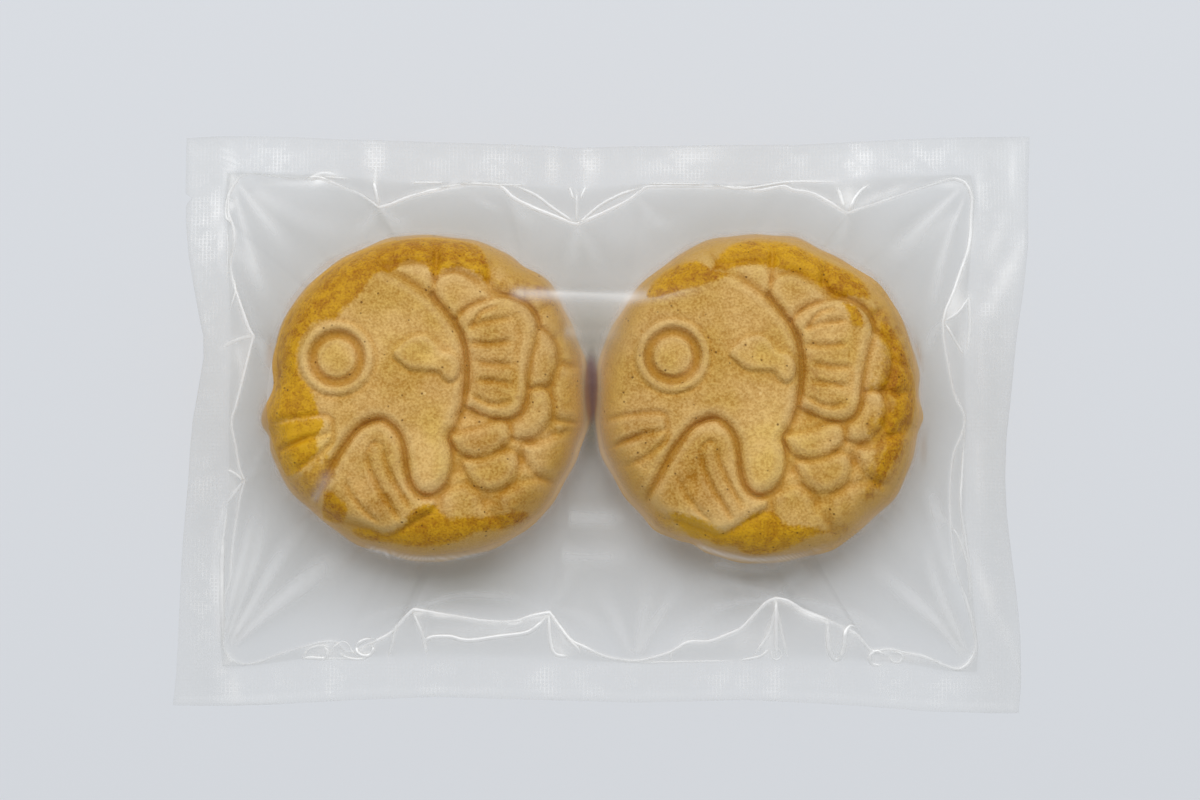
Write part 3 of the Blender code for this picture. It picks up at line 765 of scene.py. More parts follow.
# The pouch's sides, clockwise from the upper left corner. The edge is a distance in from the box at places
# along it. The weld is a line, and the loop is smooth runs that meet in sharp tips.
sides = {
    "upper": {
        "edge": [
            (-98.6, 0.4), (-90, 0), (-74, 0.3), (-62, 1.1), (-30.6, 2.1), (-13.6, 2.9), (-7, 3.4),
            (5, 2.9), (31, 2.6), (45, 2.5), (62, 1.4), (82.5, 0.4), (100, 0),
        ],
        "weld": [
            (-90, 59.8), (-70, 59.3), (-55, 58.6), (-49, 57.6), (-33, 57.2), (-22, 57), (-7, 56.1),
            (8, 56.9), (26, 56.8), (30, 56.6), (42, 57.2), (55, 57.6), (64.5, 59), (82, 59.4), (87, 59.4),
        ],
        "loop": [
            [(-86.8, 58.9), (-84.5, 59.5), (-81.4, 59.3), (-73.3, 58.2), (-67.9, 58.6), (-62.9, 56.6),
             (-58, 54.6), (-53.5, 51.4)],
            [(-53.5, 51.4), (-50.8, 52.1), (-44.5, 54.4), (-33.6, 56.7), (-25.4, 56.5), (-21.8, 53.7),
             (-17.3, 51.4), (-12.8, 49.6), (-7.8, 47.6), (-6.7, 47.4)],
            [(-6.7, 47.4), (-5.6, 47.8), (-0.2, 50.1), (5.2, 52.8), (9, 55.6), (10.6, 56.2), (18, 56.3),
             (26.4, 56.2), (32.9, 56), (36.5, 55.4), (42, 56.4), (44.6, 55.5), (48.7, 54.8), (52.3, 53),
             (56.8, 50.2), (57.5, 50)],
            [(57.5, 50), (58.1, 50.3), (64.4, 52.4), (71.2, 54.8), (78, 57.1), (82.5, 58.4),
             (85.2, 57.6)],
        ],
    },
    "right": {
        "edge": [
            (67.5, 0), (55.5, 0.7), (41.5, 1.1), (31.6, 2.2), (18.3, 4.3), (4.2, 5.9), (-4, 6.9),
            (-13, 7.3), (-21.5, 7.0), (-31.5, 5.9), (-40.6, 4.8), (-49.6, 4.0), (-60.8, 3.8),
            (-67.5, 4.4),
        ],
        "weld": [
            (59.4, 87), (53, 87.6), (45, 87.1), (30, 85.6), (17.5, 84.8), (0, 84.9), (-21, 84.4),
            (-25.5, 85.0), (-32, 85.6), (-41, 86.2), (-53, 87.2), (-58.2, 87),
        ],
        "loop": [
            [(85.2, 57.6), (86.5, 55.5), (87, 53.2), (86.7, 49.2), (86.5, 45.2), (85.8, 41.1), (84.3, 37),
             (82.2, 31.2), (80.4, 27.1), (79.6, 24.1)],
            [(79.6, 24.1), (79.8, 19.5), (81.1, 11.6), (82.3, 6.6), (84.4, 1.9), (83.9, -2), (81.9, -6.7),
             (81.1, -11.8), (80.7, -17.6), (80.8, -23.9)],
            [(80.8, -23.9), (81.7, -32.9), (83.5, -38.4), (85.3, -44.2), (86.5, -49.6), (86.5, -53.2),
             (84.9, -56.1)],
        ],
    },
    "lower": {
        "edge": [
            (96.6, 0), (89, 0), (73.6, 0.5), (58.8, 1.7), (45.3, 2.5), (31.8, 3.1), (6.8, 2.5),
            (-14, 3.1), (-39.3, 3.8), (-57.4, 3.1), (-75.3, 2.1), (-86.6, 1.7), (-100, 1.8),
        ],
        "weld": [
            (87, -58.2), (80, -58), (70, -56.2), (50, -55.4), (6.8, -56), (-30, -54.8), (-56, -54.8),
            (-70, -55.2), (-84, -56.8), (-89.5, -56.8),
        ],
        "loop": [
            [(84.9, -56.1), (82.6, -57.4), (79.5, -56.6), (74.5, -54.5), (70, -53.6), (66.4, -52.8),
             (62.4, -53.2), (61, -51.9), (58.8, -49.4), (56.4, -48), (52.6, -46.2), (46.6, -43.8),
             (43, -41.7), (39.9, -40.9)],
            [(39.9, -40.9), (37.6, -42), (34.5, -45.1), (31.8, -47.8), (28.8, -49.2), (24.2, -50.9),
             (19.3, -51.1), (15.3, -53.4), (10.8, -54.8), (6.8, -55.5), (3.2, -55.1), (-0.5, -54.3),
             (-4.9, -52.2), (-7.7, -50.9), (-10.4, -47.8), (-13.1, -44.2)],
            [(-13.1, -44.2), (-17.6, -45.1), (-21.2, -46.2), (-27.5, -46.2), (-34.7, -45.1),
             (-44.7, -43.5)],
            [(-44.7, -43.5), (-47, -45.6), (-49.7, -48.7), (-52.8, -50.5), (-56, -52), (-60, -53.6),
             (-63.6, -50.9), (-70.8, -52.3), (-77.2, -54.3), (-80.8, -55.7), (-84.4, -56.2),
             (-87.4, -55.4)],
        ],
    },
    "left": {
        "edge": [
            (-65.6, 0), (-58.6, 0.8), (-31.5, 2.0), (-13.7, 3.4), (-6, 3.7), (0.9, 4.3), (7.8, 5.5),
            (15, 6.6), (20, 6.4), (23.5, 5.6), (29.9, 4.3), (38.8, 2.6), (47, 1.8), (51.2, 1.7),
            (52.4, 3.3), (53.6, 1.6), (67, 1.5),
        ],
        "weld": [
            (-56.8, -89.5), (-52, -90), (-30, -89.5), (-15, -88.3), (0, -88.4), (20, -88.6), (45, -89.2),
            (52, -90), (59.8, -90),
        ],
        "loop": [
            [(-87.4, -55.4), (-89.2, -52.1), (-89.1, -47.8), (-89.1, -41.4), (-87.7, -36.5),
             (-87.5, -31.5), (-86.8, -24.8), (-85.6, -17.2), (-84.6, -13.4)],
            [(-84.6, -13.4), (-85.8, -10.2), (-86.7, -5.2), (-87.7, 0.3), (-86.7, 4.2), (-85.6, 8.9),
             (-84, 15.9), (-82.8, 20.8)],
            [(-82.8, 20.8), (-84.3, 23.5), (-86.8, 30.3), (-88.2, 35.3), (-88.5, 38.8), (-87.7, 42.4),
             (-87.9, 46.5), (-89, 49.2), (-89.4, 52.4), (-88.8, 55.5), (-86.8, 58.9)],
        ],
    },
}

# Corners of the edge and the weld, clockwise from the upper left.
corners = {
    "edge": [(-98.5, 67.1), (100, 67.5), (95.6, -67.5), (-100, -65.7)],
    "weld": [(-90, 59.8), (87, 59.4), (87, -58.2), (-89.5, -56.8)],
}


# The lists of this piece say where things stand against the table for an eye over the lower side. The film
# lies higher, so its points are drawn in towards the foot of the eye, by its level over the eye's height.
def settled(points):
    foot = film["eyeFoot"]
    return foot + (np.asarray(points, float) - foot) * (1 - film["level"] / film["eyeHeight"])


# The reverse: where points of the film stand in those lists.
def listed(x, y):
    footX, footY = film["eyeFoot"]
    grow = 1 / (1 - film["level"] / film["eyeHeight"])
    return footX + (x - footX) * grow, footY + (y - footY) * grow


# Points along one side's loop at equal shares of each run's length; every sharp tip falls on one of them.
def alongLoop(runs, count):
    lines = [smoothLine(run, steps=12) for run in runs]
    spans = [np.hypot(*np.diff(line, axis=0).T).sum() for line in lines]
    ends = np.round(np.cumsum([0] + spans) / sum(spans) * count).astype(int)
    return np.vstack([evenSteps(line, last - first) for line, first, last in zip(lines, ends, ends[1:])])


# Outline, weld and loop points of every column, clockwise. A column keeps the loop's place along its side,
# and close to a corner it fans out, by the square of its nearness, to the corner of the weld and outline.
def filmColumns():
    outline, weld, loop = [], [], []
    names = list(sides)
    for number, name in enumerate(names):
        side = sides[name]
        level = name in ("upper", "lower")
        along, across = (0, 1) if level else (1, 0)
        count = film["columns"][0 if level else 1]
        points = settled(alongLoop(side["loop"], count))
        following = settled(sides[names[(number + 1) % 4]]["loop"][0][0])
        share = np.arange(count) / count
        border = {"upper": high[1], "right": high[0], "lower": low[1], "left": low[0]}[name]
        inward = -1 if name in ("upper", "right") else 1
        for kind, gathered in (("edge", outline), ("weld", weld)):
            first, last = corners[kind][number], corners[kind][(number + 1) % 4]
            if kind == "weld":
                first, last = settled(first), settled(last)
            fan = np.clip(1 - share / film["fan"], 0, 1) ** 2 * (first[along] - points[0, along])
            fan = fan + np.clip(1 - (1 - share) / film["fan"], 0, 1) ** 2 * (last[along] - following[along])
            place = points[:, along] + fan
            knots = np.array(sorted(side[kind]), float)
            if kind == "weld":
                knots = settled(knots) if level else settled(knots[:, ::-1])[:, ::-1]
            value = np.interp(place, knots[:, 0], knots[:, 1])
            if kind == "edge":
                value = border + inward * value
            else:
                least = np.abs(points[:, across]) + film["leastBelt"]
                value = np.sign(value) * np.maximum(np.abs(value), least)
            moved = np.empty_like(points)
            moved[:, along], moved[:, across] = place, value
            gathered.append(moved)
        loop.append(points)
    return np.vstack(outline), np.vstack(weld), np.vstack(loop)


# For each column the place along the middle line where it ends: the ends' columns meet in one point.
def middlePlaces():
    n, m = film["columns"]
    return np.concatenate((np.arange(n), np.full(m, n), n - np.arange(n), np.zeros(m, int)))


# Rings of points from one ring towards another, at shares of the way.
def between(first, last, shares):
    return first[None] + (last - first)[None] * np.asarray(shares)[:, None, None]


# A sheet's rings from outline to weld, loop and middle line, closer together towards the loop.
def sheetPoints(rings):
    outline, weld, loop = filmColumns()
    n = film["columns"][0]
    (ax, ay), (bx, by) = film["middle"]
    share = np.arange(n + 1) / n
    middle = np.stack((ax + (bx - ax) * share, ay + (by - ay) * share), axis=1)
    toWeld, toLoop, toMiddle = (np.arange(count) / count for count in rings)
    outside, inside = film["crowding"]
    grid = np.vstack((
        between(outline, weld, toWeld),
        between(weld, loop, 1 - (1 - toLoop) ** outside),
        between(loop, middle[middlePlaces()], toMiddle ** inside),
    ))
    return grid, middle, loop


# Height of the middle of the welded band: it droops to its corners and ripples by a product of two waves.
def bandLevel(x, y):
    corner = (np.abs(x / high[0]) * np.abs(y / high[1])) ** 2
    wave = 2 * math.pi / film["rippleLength"]
    ripple = film["ripple"] * np.sin(wave * x) * np.cos(wave * y) * (1 - corner)
    return film["level"] - film["droop"] * corner + ripple


# Height of what the upper sheet lies on: the higher cake, and the ridges, which sag by half a sine wave and
# fall off with the square of the distance from their line.
def cakesTop(x, y):
    top = np.maximum.reduce([cakeTopAt(cake, x, y) for cake in cakes.values()]) + film["overCake"]
    for first, last, points in film["ridges"]:
        gap, place = distanceToLine(x, y, smoothLine(points, steps=4))
        ridge = first + (last - first) * place - film["ridgeSag"] * math.pi * np.sin(place * math.pi)
        ridge = ridge - film["ridgeRound"] * gap**2
        top = np.where(gap < film["ridgeReach"], np.maximum(top, ridge), top)
    return top


# Height of what the lower sheet hangs under: the lower cross-section of the nearer cake.
def cakesBase(x, y):
    side = np.array(cakeShape["side"][::-1])
    heights = []
    for cake in cakes.values():
        r = np.hypot(x - cake["centre"][0], y - cake["centre"][1])
        under = np.interp(r, side[:, 0], side[:, 1]) - film["overCake"]
        heights.append(np.where(r < side[-1, 0], under, 30))
    return np.minimum.reduce(heights)


# What a sheet rests against at points, which of two heights then counts, and which way it sags.
def support(x, y, upper):
    if upper:
        return cakesTop(x, y), np.maximum, film["sag"]
    return cakesBase(x, y), np.minimum, -film["sag"]


# A first, coarse shape of free film on a square grid: each point is the mean of its neighbours less the
# vacuum's sag, and keeps off the cakes.
def coarseFilm(loop, upper):
    step = film["coarseStep"]
    xs, ys = np.arange(low[0], high[0] + step, step), np.arange(low[1], high[1] + step, step)
    x, y = np.meshgrid(xs, ys, indexing="ij")
    held = distanceInside(x, y, loop[::4]) <= 0
    level = bandLevel(x, y)
    against, limit, sag = support(x, y, upper)
    height, here = level.copy(), (slice(1, -1), slice(1, -1))
    for _ in range(film["coarsePasses"]):
        mean = (height[2:, 1:-1] + height[:-2, 1:-1] + height[1:-1, 2:] + height[1:-1, :-2]) / 4
        height[here] = np.where(held[here], level[here], limit(mean - sag * step**2 / 4, against[here]))
    return xs, ys, height


# The same on the film's own grid, where a neighbour counts by the width of the strip that joins it to the
# point over its distance. Rings up to the loop are held.
def relaxedFilm(grid, middle, held, start, startMiddle, upper):
    places = middlePlaces()
    points = np.concatenate((grid[held:], middle[places][None]))
    outward = np.hypot(*np.moveaxis(np.diff(points, axis=0), -1, 0)) + 1e-3
    sideways = np.hypot(*np.moveaxis(np.roll(points, -1, axis=1) - points, -1, 0)) + 0.05
    here = slice(1, -1)
    wide = (sideways + np.roll(sideways, 1, axis=1)) / 2
    deep = (outward[1:] + outward[:-1]) / 2
    toOut, toIn = wide[here] / outward[:-1], wide[here] / outward[1:]
    toNext, toLast = deep / sideways[here], deep / np.roll(sideways, 1, axis=1)[here]
    total = toOut + toIn + toNext + toLast
    against, limit, sag = support(points[..., 0], points[..., 1], upper)
    sag = sag * wide[here] * deep
    z = np.concatenate((start[held:], startMiddle[places][None]))
    first = np.unique(places, return_index=True)[1]
    for _ in range(film["passes"][upper]):
        row = z[here]
        mean = (toOut * z[:-2] + toIn * z[2:] + toNext * np.roll(row, -1, axis=1)
                + toLast * np.roll(row, 1, axis=1) - sag) / total
        z[here] = limit(mean, against[here])
        z[-1] = limit(perPlace(z[-2]), against[-1][first])[places]
    return z[:-1], z[-1][first]


# The mean over the columns that end in each place of the middle line.
def perPlace(values):
    places = middlePlaces()
    return np.bincount(places, values) / np.bincount(places)


# Soft tension folds of the taut film: height, half width at each end, how white (milky film and a painted
# highlight along the fold), and the line.
tensionFolds = [
    (0.3, 0.3, 1.9, 0.6, [(-88.6, -53), (-83, -43), (-77, -33), (-70, -22)]),
    (0.3, 0.3, 2.4, 0.6, [(-88.2, -53), (-80, -45.4), (-70, -37), (-58, -27.4)]),
    (0.25, 0.3, 1.6, 0.5, [(-89, -52), (-85.4, -42), (-81.6, -31), (-78, -16)]),
    (0.2, 0.3, 1.4, 0.4, [(-89, -50), (-87, -40), (-84, -28), (-80, -12)]),
    (0.1, 0.8, 1.2, 0.35, [(-67.2, -19.1), (-62.2, -10.8)]),
    (0.22, 0.3, 2.4, 0.4, [(-87.4, 57.6), (-80, 48), (-71, 37)]),
    (0.2, 0.3, 2.0, 0.4, [(-88, 56), (-84.4, 42), (-78.6, 25)]),
    (0.2, 0.7, 1.8, 0.3, [(-86.8, 34), (-82, 22), (-78, 10)]),
    (0.16, 0.6, 1.8, 0.25, [(-84.4, -13.6), (-81, -8), (-79, -2)]),
    (0.16, 0.6, 1.8, 0.25, [(-82.6, 20.6), (-79.6, 16), (-78, 10)]),
    (0.18, 0.6, 2.0, 0.25, [(-53.5, 51), (-56, 47), (-60, 42)]),
    (0.18, 0.6, 2.0, 0.25, [(-53.3, 51), (-49, 47.6), (-44, 45)]),
    (0.22, 0.6, 2.4, 0.3, [(-24, 55.5), (-19, 49), (-13, 45.6)]),
    (0.22, 0.6, 2.4, 0.18, [(7, 54), (13, 47), (20, 44.4)]),
    (0.2, 0.6, 2.4, 0.25, [(-6.7, 47), (-7.4, 40), (-8, 33)]),
    (0.2, 0.6, 2.4, 0.25, [(-6.5, 47), (-3, 40), (0, 33)]),
    (0.18, 0.6, 2.0, 0.25, [(57.3, 49.8), (55.6, 45), (52, 40)]),
    (0.24, 0.3, 2.4, 0.4, [(85, 56.6), (76, 48), (64, 36)]),
    (0.22, 0.3, 2.0, 0.36, [(85.6, 55), (81, 43), (77.6, 30), (75, 15)]),
    (0.18, 0.6, 1.8, 0.3, [(79.4, 24), (76.4, 20), (75, 14)]),
    (0.18, 0.6, 1.8, 0.25, [(80.6, -24), (77, -20), (75.4, -13)]),
    (0.26, 0.3, 2.2, 0.55, [(84.6, -55.4), (78, -47), (69.6, -39.6), (59, -31)]),
    (0.26, 0.3, 1.8, 0.5, [(85.2, -55), (81, -46), (77, -36), (74.3, -22)]),
    (0.2, 0.8, 2.0, 0.35, [(82.4, -38), (78.6, -28), (76, -10)]),
    (0.25, 0.6, 1.8, 0.45, [(7.4, -54.6), (12.6, -45), (19, -36.5)]),
    (0.25, 0.6, 1.8, 0.4, [(7, -54.6), (9, -45), (11.4, -36)]),
    (0.25, 0.6, 1.8, 0.35, [(6.4, -54.6), (2, -45), (-2.6, -37)]),
    (0.22, 0.5, 1.6, 0.45, [(39.4, -41), (28, -42.7), (18.6, -47.4)]),
    (0.22, 0.6, 1.9, 0.45, [(40.4, -41), (50.4, -42.8), (60.1, -46.2), (69.8, -51.6)]),
    (0.2, 0.6, 1.9, 0.25, [(40, -40.6), (44.6, -36), (50, -33.4)]),
    (0.2, 0.6, 1.9, 0.3, [(39.6, -40.6), (30, -38), (19, -36)]),
    (0.22, 0.5, 1.6, 0.5, [(-44.6, -43.4), (-34, -40.4), (-22, -40.8), (-13, -43.8)]),
    (0.2, 0.6, 1.9, 0.3, [(-13, -43.6), (-6, -45), (2, -50)]),
    (0.2, 0.6, 1.9, 0.3, [(-45, -43), (-52, -45), (-60, -48)]),
    (0.2, 0.6, 1.9, 0.25, [(-13, -43.6), (-9, -37), (-6, -31)]),
    (0.14, 1.0, 1.2, 0.6, [(-23, 29.3), (-12, 28.8), (4, 28.4), (16, 29.2), (26, 30.4)]),
    (0.16, 1.2, 1.2, 0.3, [(-10, 20), (-3, 19.4), (5, 20)]),
    (0.3, 1.6, 1.8, 0.45, [(-9, -22.4), (-2, -22.8), (7, -22.4)]),
    (0.3, 1.8, 2.0, 0.4, [(-11, -31), (-1, -31.6), (9, -31)]),
    (0.06, 0.3, 0.3, 0.5, [(20, -28.6), (28, -31.2), (36, -32.2), (46, -31), (54, -27.6)]),
    (0.06, 0.3, 0.3, 0.5, [(-56, -29), (-48, -31.4), (-40, -32), (-30, -31), (-22, -27.6)]),
    (0.08, 0.8, 1.2, 0.25, [(24, -33), (36, -34.4), (50, -32.4)]),
    (0.2, 1.2, 3.0, 0.3, [(-88, -50), (-78, -42), (-66, -36), (-58, -33)]),
    (0.2, 1.0, 2.6, 0.3, [(-88, -44), (-84, -30), (-80.6, -16)]),
    (0.16, 1.2, 3.0, 0.22, [(-84, 56), (-70, 48), (-56, 44)]),
    (0.16, 1.0, 2.6, 0.22, [(-87, 42), (-82, 33), (-76, 28)]),
    (0.16, 1.2, 3.0, 0.22, [(84, 50), (74, 42), (64, 38)]),
    (0.16, 1.2, 3.0, 0.22, [(84, -50), (74, -42), (64, -36)]),
]

# Crisp creases, white from the stressed film and from a painted highlight: how white, half width and the
# line. The loop itself is added to them.
sharpCreases = [
    (0.95, 0.42, [(-89.4, -27), (-89.6, -34), (-89.5, -41), (-89.2, -51)]),
    (0.95, 0.4, [(-53.6, 51.6), (-54, 54), (-54.8, 57.6)]),
    (0.35, 0.6, [(-53.9, 53), (-54.4, 57.4), (-54.2, 62)]),
    (0.65, 0.36, [(-8.5, 56.2), (-8.0, 54.8), (-7.5, 53)]),
    (0.7, 0.36, [(-4.5, 56.2), (-5.2, 54.8), (-5.8, 53)]),
    (0.6, 0.34, [(-6.7, 54.6), (-6.7, 47.6)]),
    (0.75, 0.4, [(-21.8, 56.6), (-16.4, 54.1), (-12.8, 51.4), (-9.6, 49.2), (-7.2, 47.6)]),
    (0.75, 0.4, [(7.9, 55.7), (3.4, 54.1), (-1.1, 51.7), (-4.7, 48.7), (-6.2, 47.6)]),
    (0.85, 0.38, [(57.8, 50.2), (58.6, 52.6), (60, 54.8), (62.4, 56.8)]),
    (0.6, 0.6, [(56.4, 51), (55.8, 53.4), (55, 56)]),
    (0.55, 0.35, [(-66, 58.6), (-61, 58.2)]),
    (0.55, 0.8, [(-70.6, 57.8), (-67, 59.4), (-63.6, 59)]),
    (0.7, 0.3, [(-46, 57.2), (-38, 57.1)]),
    (0.6, 0.3, [(-34, 57), (-24, 56.6), (-19, 56.6)]),
    (0.6, 0.3, [(10, 56.9), (24, 56.8)]),
    (0.7, 0.35, [(26, 56.6), (31, 55.8), (36, 56.2), (44, 57.4), (56, 57.4)]),
    (0.65, 0.35, [(79.7, 24.1), (83, 26.2), (85.8, 30)]),
    (0.6, 0.35, [(79.7, 24), (82, 20), (84.4, 16)]),
    (0.45, 0.5, [(85.6, 31), (85.9, 24), (85.2, 17)]),
    (0.6, 0.35, [(84.4, -2), (83.6, -12), (83.2, -20), (84.8, -31), (86, -40)]),
    (0.55, 0.35, [(80.8, -23.9), (83, -27.6), (84.8, -34), (85.4, -42)]),
    (0.95, 0.4, [(39.9, -41), (39.9, -54.8)]),
    (0.6, 0.45, [(39.7, -43), (38.2, -49), (34.8, -54)]),
    (0.45, 0.45, [(40.1, -43), (41.2, -49), (42.6, -55)]),
    (0.6, 0.28, [(39.2, -52.8), (40.6, -52.9), (41.2, -54.2), (39.9, -55.2), (38.7, -54.2),
     (39.2, -52.8)]),
    (0.9, 0.42, [(52.0, -46.2), (51.9, -49.4), (52.2, -52.8), (53.4, -55), (54.8, -54.6), (55.7, -51.8),
     (56, -48.8), (57.2, -47.4), (58.8, -47.6)]),
    (0.75, 0.4, [(65.2, -54), (63.4, -53.2), (61.9, -54), (61.8, -55.6), (63, -56.4), (65, -56.4)]),
    (0.6, 0.34, [(66.4, -54), (66.8, -55.4), (68.4, -55.8), (69.4, -54.6), (68.6, -53.6), (67, -53.4)]),
    (0.7, 0.35, [(31, -55.4), (36, -54.4), (38.4, -52.6)]),
    (0.55, 0.35, [(15.4, -53.6), (15.2, -55.2)]),
    (0.55, 0.3, [(8, -55.9), (20, -55.6), (30, -55.5)]),
    (0.7, 0.35, [(-45, -43.8), (-42.6, -49.3), (-41.7, -53.9)]),
    (0.9, 0.45, [(-41.6, -53.9), (-41.4, -50.4), (-36.5, -49.8), (-31.9, -50.7), (-25, -49.8),
     (-18.4, -48.9), (-15.4, -47), (-13.1, -44.4)]),
    (0.85, 0.4, [(-13.1, -44.4), (-12.9, -49.3), (-11.8, -53.7), (-8.4, -54.4)]),
    (0.6, 0.4, [(-12.7, -44.8), (-9, -49.6), (-5.6, -53.4)]),
    (0.6, 0.35, [(-48.6, -46.4), (-49.4, -50.6), (-50.6, -54.6)]),
    (0.9, 0.36, [(-53.6, -50.3), (-55.8, -50.5), (-57.6, -51.4), (-57.9, -53), (-56.6, -54.2),
     (-54.8, -54), (-54.1, -52.8), (-54.6, -51.2)]),
    (0.75, 0.34, [(-54.6, -54), (-56.8, -55), (-59.4, -54.9), (-61.6, -54.2)]),
    (0.5, 0.34, [(-63.6, -54), (-63.2, -52.2), (-61.4, -51), (-60, -51.6), (-59, -53.2), (-57.8, -54.4)]),
    (0.8, 0.4, [(-70.8, -54.9), (-68.4, -54.7), (-65.4, -54.8), (-64.8, -53.4), (-65.6, -52)]),
    (0.5, 0.36, [(-70.4, -54.6), (-69.2, -52.8), (-66.6, -51.9), (-64.6, -52.2)]),
    (0.45, 0.35, [(-70, -54.9), (-56, -54.9)]),
    (0.6, 0.35, [(-89.4, -42), (-89.6, -30), (-88.6, -20)]),
    (0.6, 0.4, [(-84.7, -13.4), (-87, -11.6), (-88.6, -11)]),
    (0.55, 0.4, [(-84.7, -13.4), (-87, -16.6), (-88.9, -19)]),
    (0.35, 0.7, [(-83, 20.7), (-86, 20), (-90.4, 18)]),
    (0.7, 0.35, [(-89.6, 53.6), (-89.7, 49.4), (-88.4, 47.6)]),
    (0.45, 0.35, [(-89.4, 46), (-89.1, 41), (-89.3, 33)]),
    (0.45, 0.35, [(-87.6, 35), (-87.2, 31), (-88.4, 27)]),
]

# Painted highlights: soft gleams in milky white on the welded band and the slack film: middle, reach each
# way, lean in degrees, how milky.
gleams = [
    (-2.5, -13, 4.5, 6, 0, 0.09), (-89.8, -46, 0.45, 5, 0, 0.75), (-90, -37, 0.5, 5, 0, 0.75),
    (-89.8, -20, 0.4, 5, 3, 0.4), (-43.4, -46, 1.2, 4, 12, 0.25), (-88.4, 60.6, 0.7, 4.4, 0, 0.45),
    (-90, 62, 0.5, 5, 0, 0.35), (96.6, 61, 0.5, 6, 0, 0.3), (88.6, 57, 1.2, 4, 0, 0.3),
    (94, 34, 1.7, 10.5, -28, 0.55), (92.4, 44, 1.3, 5, -20, 0.3), (88.6, 16, 0.7, 9, 0, 0.3),
    (88.6, -38, 1.3, 7.6, 18, 0.65), (94, -50, 0.9, 9, 24, 0.3), (97.6, -60, 0.5, 6, 8, 0.35),
    (87.6, -12, 0.8, 9, 0, 0.22), (-88.9, -56.4, 1.3, 2.4, -30, 0.5), (-86.6, -62, 1.4, 4.6, 8, 0.5),
    (-80, -66, 4, 0.5, 0, 0.4), (-91, -38, 0.7, 7, 3, 0.7), (-90.8, -27, 0.6, 3.4, 6, 0.45),
    (-92, 50, 1.2, 4, 0, 0.35), (-90.8, 44, 0.8, 5, 0, 0.5), (-88.4, 52, 0.8, 1.2, 0, 0.6),
    (-67.4, 57.8, 2.4, 0.9, 20, 0.75), (-54.6, 63, 2.2, 4, 0, 0.4), (57.6, 53.6, 1.6, 2.6, 0, 0.55),
    (60.6, 62, 3.0, 4.4, -12, 0.2), (-12.6, 61, 1.4, 3.6, 0, 0.35), (-3.6, 61, 1.7, 4, 0, 0.5),
    (22, 64, 6, 2, 0, 0.35), (38.4, -50.6, 1.2, 3.4, 0, 0.55), (-64, -53.6, 3.6, 1.4, 0, 0.35),
    (66, -54.8, 4.4, 1.2, -8, 0.45), (-11, -51.6, 1.6, 2.6, 20, 0.4), (54, -52, 1.6, 4, 0, 0.25),
    (-73, 57.2, 7, 0.8, 0, 0.2), (81.6, 57, 2.6, 0.9, 0, 0.3), (48, -44.6, 4.2, 1.5, -24, 0.55),
    (20, -49, 7, 1.4, 25, 0.25), (-28, 51.8, 3.4, 1.0, -28, 0.25), (14, 47.4, 4.4, 1.6, 10, 0.1),
    (52.1, -50.4, 0.6, 3.2, 0, 0.5), (55.9, -50.6, 0.5, 3.0, 4, 0.45), (54, -54.8, 1.4, 0.7, 0, 0.5),
    (63.2, -54.8, 1.5, 1.2, 0, 0.5), (68, -54.6, 1.3, 1.0, 0, 0.35), (66, -56.3, 3.0, 0.5, 0, 0.45),
    (82.6, 28, 1.6, 3.4, -20, 0.55), (84.4, 20, 0.8, 5, 10, 0.3), (83.4, -28, 1.0, 5, -14, 0.35),
    (-86.2, 16, 0.9, 4, 12, 0.3), (-87.4, -14, 1.2, 3.4, 0, 0.4), (-28, -48, 12, 1.1, 2, 0.28),
    (-20, -46.6, 5, 0.9, 12, 0.35), (-38, -44.8, 6, 0.8, 0, 0.3), (-56.2, -52.5, 1.6, 1.6, 0, 0.35),
    (-66, -52.8, 3, 1.0, 8, 0.45), (-9.4, -50, 1.4, 3.4, 24, 0.45), (57, -50.6, 2, 2.6, 0, 0.3),
    (70, -54.6, 4, 0.9, -14, 0.4), (33, -50.6, 3, 2, 30, 0.25), (66, 54.6, 6, 0.8, 22, 0.35),
    (-38, 56, 6, 0.7, 12, 0.3),
]

# Painted shade in the film, in the same way: where it dips between the cakes, where it turns away from the
# light, over the cakes' shadow on the floor, and on the darker side bands.
shades = [
    (-3.2, 7, 1.7, 9, 0, 1.0), (-3, 20, 7.5, 6.5, 0, 0.34), (-2, -39, 14, 6, 0, 0.05),
    (0, 63, 110, 5, 0, 0.02), (-3, 38, 16, 5, 0, 0.05), (-32, -37, 16, 6, 0, 0.15),
    (36, -34, 16, 4, 0, 0.05), (-29, 46, 14, 7, 0, 0.045), (22, 46, 14, 7, 0, 0.045),
    (-94, 0, 6, 70, 0, 0.08), (92, 0, 7, 70, 0, 0.1),
]

# Faint brown smears of fat and crumb that the film carries, in the same way.
stains = [
    (-77.6, 15.6, 1.5, 3.6, 0, 0.34), (-78.6, 1.2, 1.6, 4, 0, 0.42), (72.8, 16, 1.0, 3.6, 12, 0.3),
    (74, -6, 0.9, 4, 0, 0.2),
]

